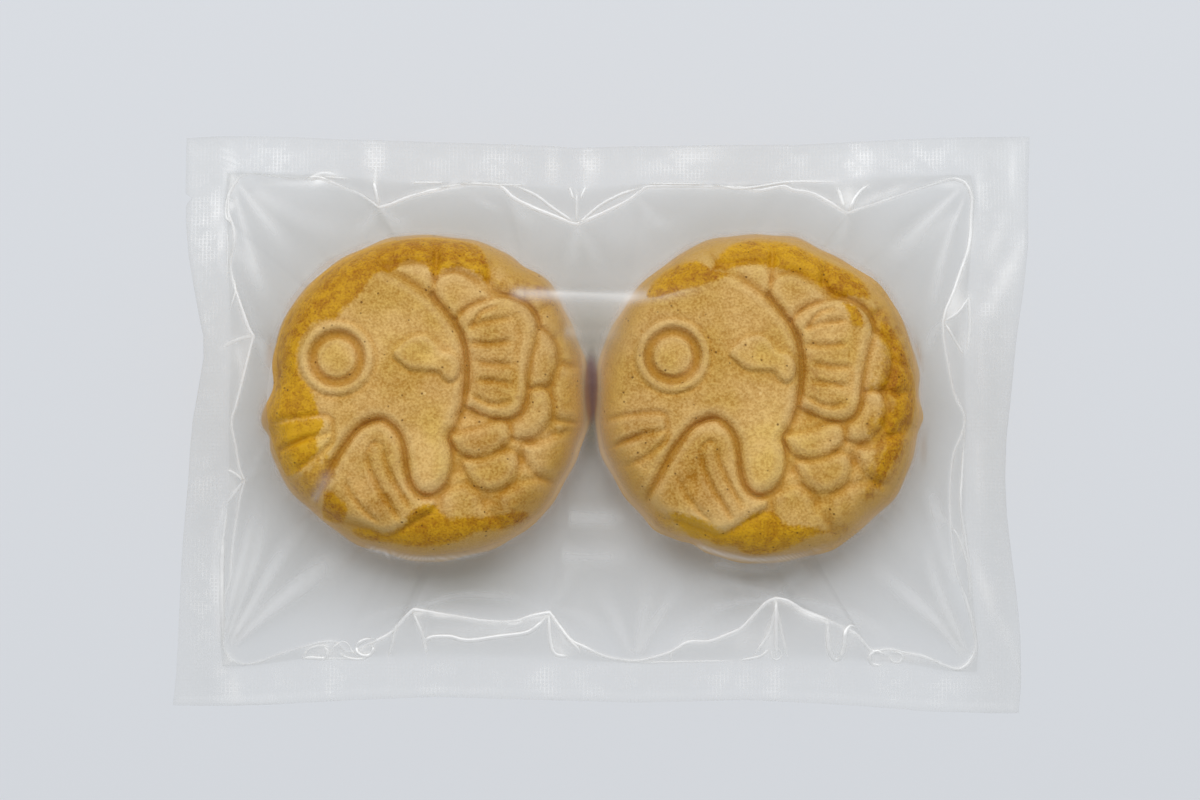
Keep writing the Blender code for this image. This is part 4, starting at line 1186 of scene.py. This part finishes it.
# Where the heat seal's fine grid catches the light: middle, reach each way, how strong.
sealGrid = [
    (-79, 62.5, 8, 5, 0.6), (-54.5, 62.5, 3, 5, 0.8), (-40, 62, 9, 4, 0.25), (-24, 61, 6, 5, 0.7),
    (-12, 61, 2.6, 4.5, 0.6), (-4.4, 61.5, 3.4, 4.5, 0.8), (18, 60.5, 9, 5, 0.5), (44, 61, 5, 5, 0.5),
    (60, 62, 4.4, 5, 0.8), (75, 63, 10, 4.5, 0.6), (90, 52, 3, 10, 0.4), (91, 24, 3, 12, 0.35),
    (28, -60, 8, 4, 0.5), (39.5, -60, 2.4, 5, 0.7), (67, -60.4, 4.5, 5, 0.6), (79, -61, 6, 5, 0.65),
    (89, -62, 4, 5, 0.4), (52, -60, 6, 4, 0.25), (8, -60, 9, 4, 0.25), (-88.5, -60, 3.4, 5, 0.7),
    (-76, -61, 3, 5, 0.55), (-64, -60, 4, 5, 0.7), (-50, -60, 5, 4, 0.2), (-39, -60, 5, 4.5, 0.5),
    (-27, -60, 6, 4, 0.3), (-14.5, -60, 3.4, 5, 0.7), (-3, -60, 5, 4.5, 0.5), (-93.5, 47, 5, 10, 0.7),
    (-94, 25, 3.4, 9, 0.3), (-94, -14, 4, 8, 0.45), (-93.5, -42, 4.5, 13, 0.7), (-94, 4, 3, 8, 0.25),
]

# How white the loop's painted highlight is in places along it: middle, how far that counts, how white.
loopLight = [
    (-88, 57, 3, 0.75), (-89.2, 49, 5, 0.6), (-79, 59, 7, 0.16), (-66, 58.4, 2.4, 0.85),
    (-59, 55, 4, 0.4), (-46, 54, 5, 0.75), (-33.6, 56.7, 5, 0.55), (-16, 51, 7, 0.9), (0, 50, 6, 0.75),
    (18, 56.3, 8, 0.55), (33, 56, 5, 0.75), (46, 55.4, 6, 0.75), (57.5, 50, 2, 0.5), (69, 54, 8, 0.42),
    (85, 57.6, 3, 0.75), (86.5, 47, 6, 0.7), (82, 31, 6, 0.7), (80, 17, 6, 0.3), (84, 1, 4, 0.35),
    (81, -13, 8, 0.2), (81.4, -31, 6, 0.3), (86, -47, 5, 0.65), (85, -56, 3, 0.75), (76, -55, 4, 0.5),
    (66, -53, 3, 0.5), (54, -47, 2.2, 0.12), (59, -49.6, 2, 0.6), (47, -44, 3, 0.6), (40, -41.4, 3, 0.85),
    (28, -49, 8, 0.6), (7, -55, 8, 0.5), (-8, -50, 4, 0.8), (-13, -45, 3, 0.9), (-29, -46, 9, 0.5),
    (-44.6, -44, 3, 0.8), (-51, -49, 2.2, 0.7), (-55.4, -51.8, 1.6, 0.02), (-59, -52.8, 2.4, 0.08),
    (-66, -51.8, 3, 0.3), (-77, -54.3, 6, 0.22), (-88.6, -54, 4, 0.2), (-89.2, -44, 6, 0.6),
    (-87.4, -28, 8, 0.45), (-84.8, -13, 3, 0.6), (-87.2, -2, 6, 0.45), (-84.4, 14, 6, 0.5),
    (-85, 26, 6, 0.8), (-88.3, 38, 5, 0.5),
]


# A bell across each line, widening from its first end to its last and fading out there, times one of its
# numbers: 0 is its height and 3 how milky it is.
def foldField(x, y, pick, spread=1.3):
    there, fading = filmTone["foldFade"]
    total = np.zeros(x.shape)
    for fold in tensionFolds:
        narrow, wide, line = fold[1], fold[2], smoothLine(fold[4], steps=5)
        near = nearLine(x, y, line, filmTone["foldReach"] * spread * wide)
        gap, place = distanceToLine(x[near], y[near], line)
        width = spread * (narrow + (wide - narrow) * place)
        fade = smoothStep(0, there, place) * (1 - smoothStep(fading, 1, place))
        total[near] += fold[pick] * fade * bell(gap, width)
    return total


# The greatest of the bells across the crisp creases.
def creaseField(x, y):
    total = np.zeros(x.shape)
    for white, width, points in sharpCreases:
        line = smoothLine(points, steps=5)
        near = nearLine(x, y, line, 3)
        gap = distanceToLine(x[near], y[near], line)[0]
        total[near] = np.maximum(total[near], white * bell(gap, width))
    return total


# The nearest of the loop's values, blended by a bell of each one's reach.
def loopShine(loop):
    x, y, reach, white = np.array(loopLight).T
    apart = np.hypot(loop[:, :1] - x, loop[:, 1:] - y) / reach
    weight = bell(apart) + 1e-4 / (1 + apart ** 4)
    shine = (weight * white).sum(axis=1) / weight.sum(axis=1)
    strong, *waves = filmTone["shineWaver"]
    return np.clip(shine + strong * unevenness(*loop.T, *waves), filmTone["leastShine"], 1)


filmTone = {
    "foldReach": 2.4,                # how many of its widths away a fold is still worked out
    "foldFade": (0.08, 0.5),         # places along a fold where it is fully there, and begins to fade
    "shineWaver": (0.08, 9, 31),     # unevenness of the loop's white: how strong, its size and seed
    "leastShine": 0.08,
    "lowerSheet": 0.35,              # share of it all that the lower sheet keeps
    "loopHighlight": 0.9,                 # half width of the painted highlight along the loop
    "crease": 0.55, "foldMilkAndSheen": 0.7,
    "besideFold": (2.4, 0.16),       # how wide and how dark the painted shade beside a fold is
    "clouds": (0.012, 0.04),         # even and uneven haze of free film
    "freeFrom": (35, 40),            # distances from a cake between which the film gets free of it
    "rim": 37.6,                     # reach of a cake's rim
    "wetEdge": (36.6, 1.5),          # reach where the film stops being wet, and how fast
    "cling": (36.0, 2.6, 0.62),      # reach, half width and share by which it is clearer where it clings
    "veilAndShade": (-0.6, 1.3, 0.05, 0.10),         # a ring past the rim: where, half width, how milky, and how much painted shade
    "smear": (-0.5, 1.0, 0.20, 0.08),        # fat at the rim: where, half width, how brown, how uneven
    "below": (2.5, 3.2, 0.03),       # painted light: milky haze that lifts the shade along a cake's lower side: where, half width, how milky
    "rimHaze": (0.9, 0.09),
    # painted shade round each cake past its rim, for its shadow on the floor: how far and how dark
    "rimShade": (15, 0.06),
    "slot": [(-3, 7, 2.2, 10, 0.9)],         # clearer in the gap between the cakes
    "beltShade": 0.05, "beltSkin": 0.7, "leastGrid": 0.12,
}


# How the film looks at its points, painted highlights and painted shade included. On the band and off the
# cakes it is a sum of the listed spots and folds; at a cake it is bells of the distance from that cake's
# rim. The lower sheet keeps a share of it.
def filmFields(x, y, creases, loop, belt, taut, onBand, upper):
    lx, ly = listed(x, y)
    # painted highlight along the loop where the sheets part
    highlightWhite = bell(np.hypot(x - loop[:, 0], y - loop[:, 1]), filmTone["loopHighlight"]) * loopShine(loop)
    milkAndHighlight = foldField(lx, ly, 3)
    # painted shade on the flanks of each fold
    spread, dark = filmTone["besideFold"]
    foldFlankShade = dark * np.maximum(foldField(lx, ly, 3, spread) - milkAndHighlight, 0) * taut
    apart = [np.hypot(x - cake["centre"][0], y - cake["centre"][1]) for cake in cakes.values()]
    free = taut * smoothStep(*filmTone["freeFrom"], np.minimum.reduce(apart))
    even, uneven = filmTone["clouds"]
    # the film's milky haze, with painted highlights: white fold streaks and the listed gleams
    hazeAndGleam = milkAndHighlight * taut * filmTone["foldMilkAndSheen"] + spotField(lx, ly, gleams)
    hazeAndGleam = np.clip(hazeAndGleam + (even + uneven * unevenness(x, y, 16, 8)) * free, 0, 1)
    stain, paintedShade = spotField(lx, ly, stains), spotField(lx, ly, shades)
    cling, veilAndShade, wet = np.zeros(x.shape), np.zeros(x.shape), np.full(x.shape, -3.0)
    for cake in cakes.values():
        cx, cy = inCake(cake, x, y)
        r = np.hypot(cx, cy)
        pastRim = r - filmTone["rim"] * (1 + rimStretch(cake, np.degrees(np.arctan2(cy, cx))))
        at, slope = filmTone["wetEdge"]
        wet = np.maximum(wet, np.minimum(patchField(cx, cy, cake["wet"]), np.clip((at - r) * slope, -3, 3)))
        at, width, clearer = filmTone["cling"]
        cling = np.maximum(cling, clearer * bell(r - at, width))
        at, width, veilMilk, veilShade = filmTone["veilAndShade"]
        veilAndShade = np.maximum(veilAndShade, bell(pastRim - at, width))
        at, width, brown, uneven = filmTone["smear"]
        smear = bell(pastRim - at, width) * (brown + uneven * unevenness(x, y, 9, cake["seed"]))
        stain = np.maximum(stain, smear)
        # painted light over the shade along the cake's lower side
        at, width, share = filmTone["below"]
        hazeAndGleam = hazeAndGleam + share * smoothStep(-0.1, -0.7, cy / cakeShape["radius"]) * bell(pastRim - at, width)
        width, share = filmTone["rimHaze"]
        hazeAndGleam = hazeAndGleam + share * bell(pastRim, width)
        # painted shade round the cake, for its shadow on the floor under the film
        width, share = filmTone["rimShade"]
        paintedShade = paintedShade + share * bell(np.maximum(pastRim, 0), width) * smoothStep(-1, 2, pastRim)
    keep = 1.0 if upper else filmTone["lowerSheet"]
    skin = taut * (1 - cling) * (1 - spotField(x, y, filmTone["slot"]))
    return {
        "wet": wet if upper else wet * 0 - 3,
        "crease": np.clip(np.maximum(creases, highlightWhite), 0, 1) * filmTone["crease"] * keep,
        "hazeAndGleam": (hazeAndGleam + veilMilk * veilAndShade) * np.clip(1.1 - 2 * paintedShade, 0, 1) * keep,
        # painted shade: the listed dark places, the rim's ring, the belt and the flanks of the folds
        "shade": (paintedShade + veilShade * veilAndShade + filmTone["beltShade"] * belt + foldFlankShade) * keep,
        "stain": stain * keep,
        "grid": np.maximum(spotField(lx, ly, sealGrid), filmTone["leastGrid"]) * onBand * keep,
        "taut": np.maximum(skin, filmTone["beltSkin"] * belt),
    }


# One sheet: its grid of points, the points of its middle line, and its numbers at both. Its height is that
# of the relaxed film, with crumples and creases on the slack belt and folds where it is taut.
def makeSheet(upper):
    rings = film["rings"] if upper else film["baseRings"]
    grid, middle, loop = sheetPoints(rings)
    x, y = grid[..., 0], grid[..., 1]
    held = rings[0] + rings[1]
    xs, ys, coarse = coarseFilm(loop, upper)
    z, zMiddle = readGrid(xs, ys, coarse, x, y), readGrid(xs, ys, coarse, *middle.T)
    z[:held + 1] = bandLevel(x, y)[:held + 1]
    z[held:], zMiddle = relaxedFilm(grid, middle, held, z, zMiddle, upper)
    ring = np.arange(len(grid))[:, None]
    belt = smoothStep(rings[0] - 0.5, rings[0] + 1.5, ring) * (1 - smoothStep(held - 2.5, held, ring))
    taut = smoothStep(held - 0.5, held + 2.5, ring)
    onBand = 1 - smoothStep(rings[0] - 1.5, rings[0], ring)
    side, half = 1 if upper else -1, film["thickness"] / 2
    creases = creaseField(*listed(x, y))
    along, across, *waves = film["crumple"]
    crumple = film["slack"] * (0.5 + 0.5 * unevenness(x * along, y * across, *waves))
    thick = half * (1 - (1 - film["freeHalf"]) * taut)
    z = z + side * (thick + belt * (crumple + film["creaseHeight"] * creases))
    z = z + side * taut * film["foldHeight"] * foldField(*listed(x, y), 0)
    zMiddle = zMiddle + side * half * film["freeHalf"]
    if not upper:
        z, zMiddle = np.maximum(z, film["leastHeight"]), np.maximum(zMiddle, film["leastHeight"])
    fields = filmFields(x, y, creases, loop, belt, taut, onBand, upper)
    fields = {key: np.append(value.ravel(), perPlace(value[-1])) for key, value in fields.items()}
    return np.dstack((x, y, z)).reshape(-1, 3), np.column_stack((middle, zMiddle)), fields


# One closed skin: the upper sheet over the cakes, the lower one under them, joined round the outline.
def makeFilm(material):
    columns = 2 * sum(film["columns"])
    step = np.arange(columns)
    turn = (step + 1) % columns
    points, faces, starts, sheetFields = [], [], [], []
    for upper in (True, False):
        first = sum(len(part) for part in points)
        sheet, middle, fields = makeSheet(upper)
        points += [sheet, middle]
        sheetFields.append(fields)
        starts.append(first)
        inner, centre = first + len(sheet) - columns, first + len(sheet) + middlePlaces()
        quads = ringFaces(len(sheet) // columns, columns, first)[:, [0, 3, 2, 1]]
        wedge = np.stack((inner + step, centre[step], centre[turn], inner + turn), axis=1)
        if not upper:
            quads, wedge = quads[:, ::-1], wedge[:, ::-1]
        flat = centre[step] == centre[turn]
        faces += quads.tolist() + wedge[~flat].tolist() + wedge[flat][:, [0, 1, 3]].tolist()
    over, under = starts
    faces += np.stack((over + step, over + turn, under + turn, under + step), axis=1).tolist()
    fields = {key: np.concatenate([part[key] for part in sheetFields]) for key in sheetFields[0]}
    return makePiece("pouchFilm", np.vstack(points), faces, fields, material), points[0]


ridges = {
    "sides": 8, "flatness": 0.4,
    "loopWidth": 0.66,                # half width of the loop's ridge
    "creaseWidth": 1.5,               # and of a crease's, by the crease's own
    "stand": 0.25,                    # how far a ridge's middle stands off the film, by its half width
    "creaseLift": 0.25,               # and how much further for a crease
    "dullWidth": 0.3,                 # share of the width that a fold keeps where it isn't white
    "taper": (6, 0.15),               # how fast a crease widens from its ends, and its share there
    "closest": 0.05,                  # points of the loop nearer than this become one
}


# A thin closed tube: flattened circles across a chain of points. An open one has a point at each end.
def tubeAlong(points, width, closed=False):
    count, sidesRound = len(points), ridges["sides"]
    if closed:
        along = np.roll(points, -1, axis=0) - np.roll(points, 1, axis=0)
    else:
        along = np.gradient(points, axis=0)
    along = along / np.linalg.norm(along, axis=1, keepdims=True)
    across = np.cross(along, (0, 0, 1))
    across = across / np.linalg.norm(across, axis=1, keepdims=True)
    up = np.cross(across, along)
    turn = np.arange(sidesRound) * 2 * math.pi / sidesRound
    ring = np.cos(turn)[:, None] * across[:, None] + ridges["flatness"] * np.sin(turn)[:, None] * up[:, None]
    body = (points[:, None] + width[:, None, None] * ring).reshape(-1, 3)
    quads = ringFaces(count, sidesRound)
    step = np.arange(sidesRound)
    following = (step + 1) % sidesRound
    last = (count - 1) * sidesRound
    if closed:
        join = np.stack((last + step, last + following, following, step), axis=1)
        return body, quads.tolist() + join.tolist()
    tip = np.full(sidesRound, len(body))
    ends = np.stack((following, step, tip), axis=1)
    tails = np.stack((last + step, last + following, tip + 1), axis=1)
    body = np.vstack((body, points[0] - along[0] * width[0], points[-1] + along[-1] * width[-1]))
    return body, quads.tolist() + ends.tolist() + tails.tolist()


# Height of the film at points, taken from the nearest of its own points and smoothed along the line.
def heightOnFilm(line, sheet):
    near = sheet[nearLine(sheet[:, 0], sheet[:, 1], line, 3)]
    apart = (line[:, :1] - near[:, 0]) ** 2 + (line[:, 1:] - near[:, 1]) ** 2
    height = near[np.argmin(apart, axis=1), 2]
    padded = np.concatenate((height[:1].repeat(4), height, height[-1:].repeat(4)))
    return np.convolve(padded, np.full(9, 1 / 9), "valid")


# The sharp folds of the film as fine closed ridges: the loop and every crisp crease. They carry a painted
# highlight along their top, by the sine of the way round, and are clear at the sides.
def makeRidges(sheet, material):
    loop = filmColumns()[2]
    loop = loop[np.hypot(*(loop - np.roll(loop, 1, axis=0)).T) > ridges["closest"]]
    lines = [(loopShine(loop), ridges["loopWidth"], loop, True)]
    for bright, width, knots in sharpCreases:
        line = settled(smoothLine(knots, steps=8))
        lines.append((np.full(len(line), bright), ridges["creaseWidth"] * width, line, False))
    points, faces, white, first = [], [], [], 0
    fast, least = ridges["taper"]
    crossFade = np.clip(np.sin(np.arange(ridges["sides"]) * 2 * math.pi / ridges["sides"]), 0, 1)
    for bright, width, line, closed in lines:
        stretches = np.array_split(line, len(line) // 60 + 1)
        height = np.concatenate([heightOnFilm(stretch, sheet) for stretch in stretches])
        share = np.linspace(0, 1, len(line))
        ends = np.minimum(share, 1 - share)
        taper = np.ones(len(line)) if closed else np.clip(ends * fast + least, 0, 1)
        height = height + ridges["stand"] * width + (0.0 if closed else ridges["creaseLift"])
        thick = width * taper * (ridges["dullWidth"] + (1 - ridges["dullWidth"]) * bright)
        body, skin = tubeAlong(np.column_stack((line, height)), thick, closed)
        points.append(body)
        faces += [[first + corner for corner in face] for face in skin]
        # painted highlight on the top of each ridge
        highlightWhite = (np.minimum(bright * taper, 1)[:, None] * crossFade).ravel()
        white.append(highlightWhite if closed else np.append(highlightWhite, [highlightWhite[0], highlightWhite[-1]]))
        first += len(body)
    white = np.concatenate(white)
    fields = {"crease": white, "wet": white * 0 - 3}
    return makePiece("creaseRidges", np.vstack(points), faces, fields, material)


filmLook = {
    "milkAndGlint": (0.985, 0.99, 1.0, 1.0),
    "shade": (0.16, 0.14, 0.07, 1.0),        # painted shade and reflection: the dim room and the cakes as the clear film shows them
    "clear": (0.985, 0.985, 0.98, 1.0),
    "fat": rgb(186, 134, 60),
    "gap": (0.075, 0.006, 0.0, 1.0),         # painted shadow in the dark slot between the cakes
    # painted shade: its even share over taut film, and how much more of it comes in at grazing angles
    "veilAndShade": 0.042, "bandVeil": 0.05, "grazing": 0.42,
    "crease": 0.56, "hazeAndGleam": 0.85,
    "gridPitch": 0.9, "gridFloor": 0.08, "gridShine": 0.85,
    "thread": (0.45, 0.95), "weft": 0.6,     # where a thread begins and is full, and share of the second way
    "broken": (3.4, 0.36, 0.62),             # gaps in the grid: size, and levels between which it shows
    "gridDepth": 0.03,
    "grazingBlend": 0.35,                    # how early the grazing angles begin
    "mostCovered": 0.95,
    "wetFrom": (-0.4, 0.3), "wetClear": 0.85,        # where fat wets the film, and how clear that makes it
    "waves": (4.5, 3.0, 0.10),               # of the band's surface: size, detail and depth
    "gapFrom": (0.35, 0.80),                 # shades between which the slot's painted shadow colour comes in
    "glint": (0.2, 1.0, 0.25, 0.08),         # mirror share: crease whites between, what they add, even part
    "roughness": 0.3,
}


# Clear film: see-through, with a share of half-mirror, half-milky surface that grows towards grazing angles,
# on creases and folds, and where the seal's grid catches the light. It vanishes where fat wets it. Its
# colour holds painted shade (the floor's shadow under the film, the dim room at grazing angles, the slot
# between the cakes) and painted highlights (creases, folds, gleams).
def filmMaterial():
    material, s = newMaterial("clearFilm")
    place = s.node("TexCoord", output=3)
    names = ("taut", "shade", "crease", "hazeAndGleam", "stain", "grid")
    taut, shade, crease, hazeAndGleam, stain, grid = (s.attribute(name) for name in names)
    soaked = s.attribute("wet").ramp(*filmLook["wetFrom"])
    along = s.node("SeparateXYZ", {}, {"Vector": place})
    across = Socket(s.tree, along.link.node.outputs["Y"])
    half = filmLook["gridPitch"] / 2 * mm
    threads = [(way.math("PINGPONG", half) / half).ramp(*filmLook["thread"]) for way in (along, across)]
    weave = threads[0].math("MAXIMUM", threads[1] * filmLook["weft"])
    size, *between = filmLook["broken"]
    broken = place.noise(size).ramp(*between)
    seal = grid * (filmLook["gridFloor"] + weave * broken * filmLook["gridShine"])
    edge = s.node("LayerWeight", {}, {"Blend": filmLook["grazingBlend"]}, output=1)
    free = 1 - taut
    # painted shade: over taut film, more at grazing angles, and where the shade numbers say
    dark = (filmLook["veilAndShade"] + edge * filmLook["grazing"]) * taut + shade
    # white share: milky film and painted highlights on creases, folds, gleams and the seal's grid
    milkAndHighlight = crease * filmLook["crease"] + hazeAndGleam * filmLook["hazeAndGleam"] + seal
    milkAndHighlight = milkAndHighlight + free * filmLook["bandVeil"]
    share = (milkAndHighlight + dark + stain).math("MINIMUM", filmLook["mostCovered"])
    share = share * (1 - soaked * filmLook["wetClear"])
    size, detail, deep = filmLook["waves"]
    waves = place.noise(size, detail) * deep * (1 - crease)
    relieved = waves * free + weave * grid * filmLook["gridDepth"]
    bump = s.node("Bump", {}, {"Height": relieved, "Strength": 1.0, "Distance": mm})
    # painted shade colour, turning to the slot's painted shadow where the shade is deepest
    paintedShadeColour = shade.ramp(*filmLook["gapFrom"]).blend(filmLook["shade"], filmLook["gap"])
    tint = (milkAndHighlight / (milkAndHighlight + dark)).blend(paintedShadeColour, filmLook["milkAndGlint"])
    tint = (stain / (milkAndHighlight + dark + stain)).blend(tint, filmLook["fat"])
    dull, white, added, even = filmLook["glint"]
    glint = crease.ramp(dull, white) * added + even
    sockets = {"Base Color": tint, "Metallic": glint, "Roughness": filmLook["roughness"], "Normal": bump}
    skin = s.node("BsdfPrincipled", {}, sockets)
    clear = s.node("BsdfTransparent", {}, {"Color": filmLook["clear"]})
    s.node("OutputMaterial", {}, {"Surface": s.node("MixShader", {}, {0: share, 1: clear, 2: skin})})
    return material


clearFilm = filmMaterial()
pouchFilm, filmTop = makeFilm(clearFilm)
creaseRidges = makeRidges(filmTop, clearFilm)
# The film's own shadow on the floor is left out; the darkening it would give is painted into the film's
# shade colour.
for piece in (pouchFilm, creaseRidges):
    piece.visible_shadow = False              # clear film throws no shadow and tints nothing round it
    piece.visible_diffuse = False
    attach(piece, "root")
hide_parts("pouch")
print("film drawn over the cakes")


view = {"aim": (-1.2, 5.6, 0.0), "away": 666.0, "lean": 5.0, "lens": 85.0, "sensor": 36.0}
studio = {
    "floor": rgb(232, 235, 240),
    "floorHalf": 3.0,                              # in metres
    "floorRough": (60.0, 0.03, 0.85),              # size of its blotches, how much they add, even part
    "floorGloss": 0.1,
    "air": 0.39,                                   # strength of the even light all round
    "airColour": (0.96, 0.98, 1.0, 1.0),
    "softbox": {"at": (0, 1080, 1830), "size": (3400, 1300), "power": 34.5},
}


# A camera or light at a place, turned to look at a target.
def aimed(name, data, place, target):
    thing = bpy.data.objects.new(name, data)
    thing.location = Vector(place) * mm
    thing.rotation_euler = (Vector(target) - Vector(place)).to_track_quat("-Z", "Y").to_euler()
    bpy.context.scene.collection.objects.link(thing)
    return thing


# The camera, at its distance from the aim along a line that leans from the vertical.
def makeCamera():
    data = bpy.data.cameras.new("camera")
    data.lens = view["lens"]
    data.sensor_width = view["sensor"]
    lean = math.radians(view["lean"])
    x, y, z = view["aim"]
    place = (x, y - view["away"] * math.sin(lean), z + view["away"] * math.cos(lean))
    bpy.context.scene.camera = aimed("camera", data, place, view["aim"])


# A wide softbox, an even pale room and a pale floor.
def makeStudio():
    box = studio["softbox"]
    data = bpy.data.lights.new("softbox", "AREA")
    data.shape = "RECTANGLE"
    data.size, data.size_y = (side * mm for side in box["size"])
    data.energy = box["power"]
    aimed("softbox", data, box["at"], (0, 0, 0))
    world = bpy.data.worlds.new("room")
    world.use_nodes = True
    background = world.node_tree.nodes["Background"]
    background.inputs["Color"].default_value = studio["airColour"]
    background.inputs["Strength"].default_value = studio["air"]
    bpy.context.scene.world = world
    mesh = bpy.data.meshes.new("floor")
    half = studio["floorHalf"]
    square = [(-half, -half, 0), (half, -half, 0), (half, half, 0), (-half, half, 0)]
    mesh.from_pydata(square, [], [(0, 1, 2, 3)])
    material, s = newMaterial("paleFloor")
    size, added, even = studio["floorRough"]
    rough = s.node("TexCoord", output=3).noise(size) * added + even
    sockets = {"Base Color": studio["floor"], "Roughness": rough, "Specular IOR Level": studio["floorGloss"]}
    s.node("OutputMaterial", {}, {"Surface": s.node("BsdfPrincipled", {}, sockets)})
    mesh.materials.append(material)
    floor = bpy.data.objects.new("floor", mesh)
    bpy.context.scene.collection.objects.link(floor)
    bpy.context.scene.view_settings.view_transform = "Standard"


makeCamera()
makeStudio()
print("camera and studio set")
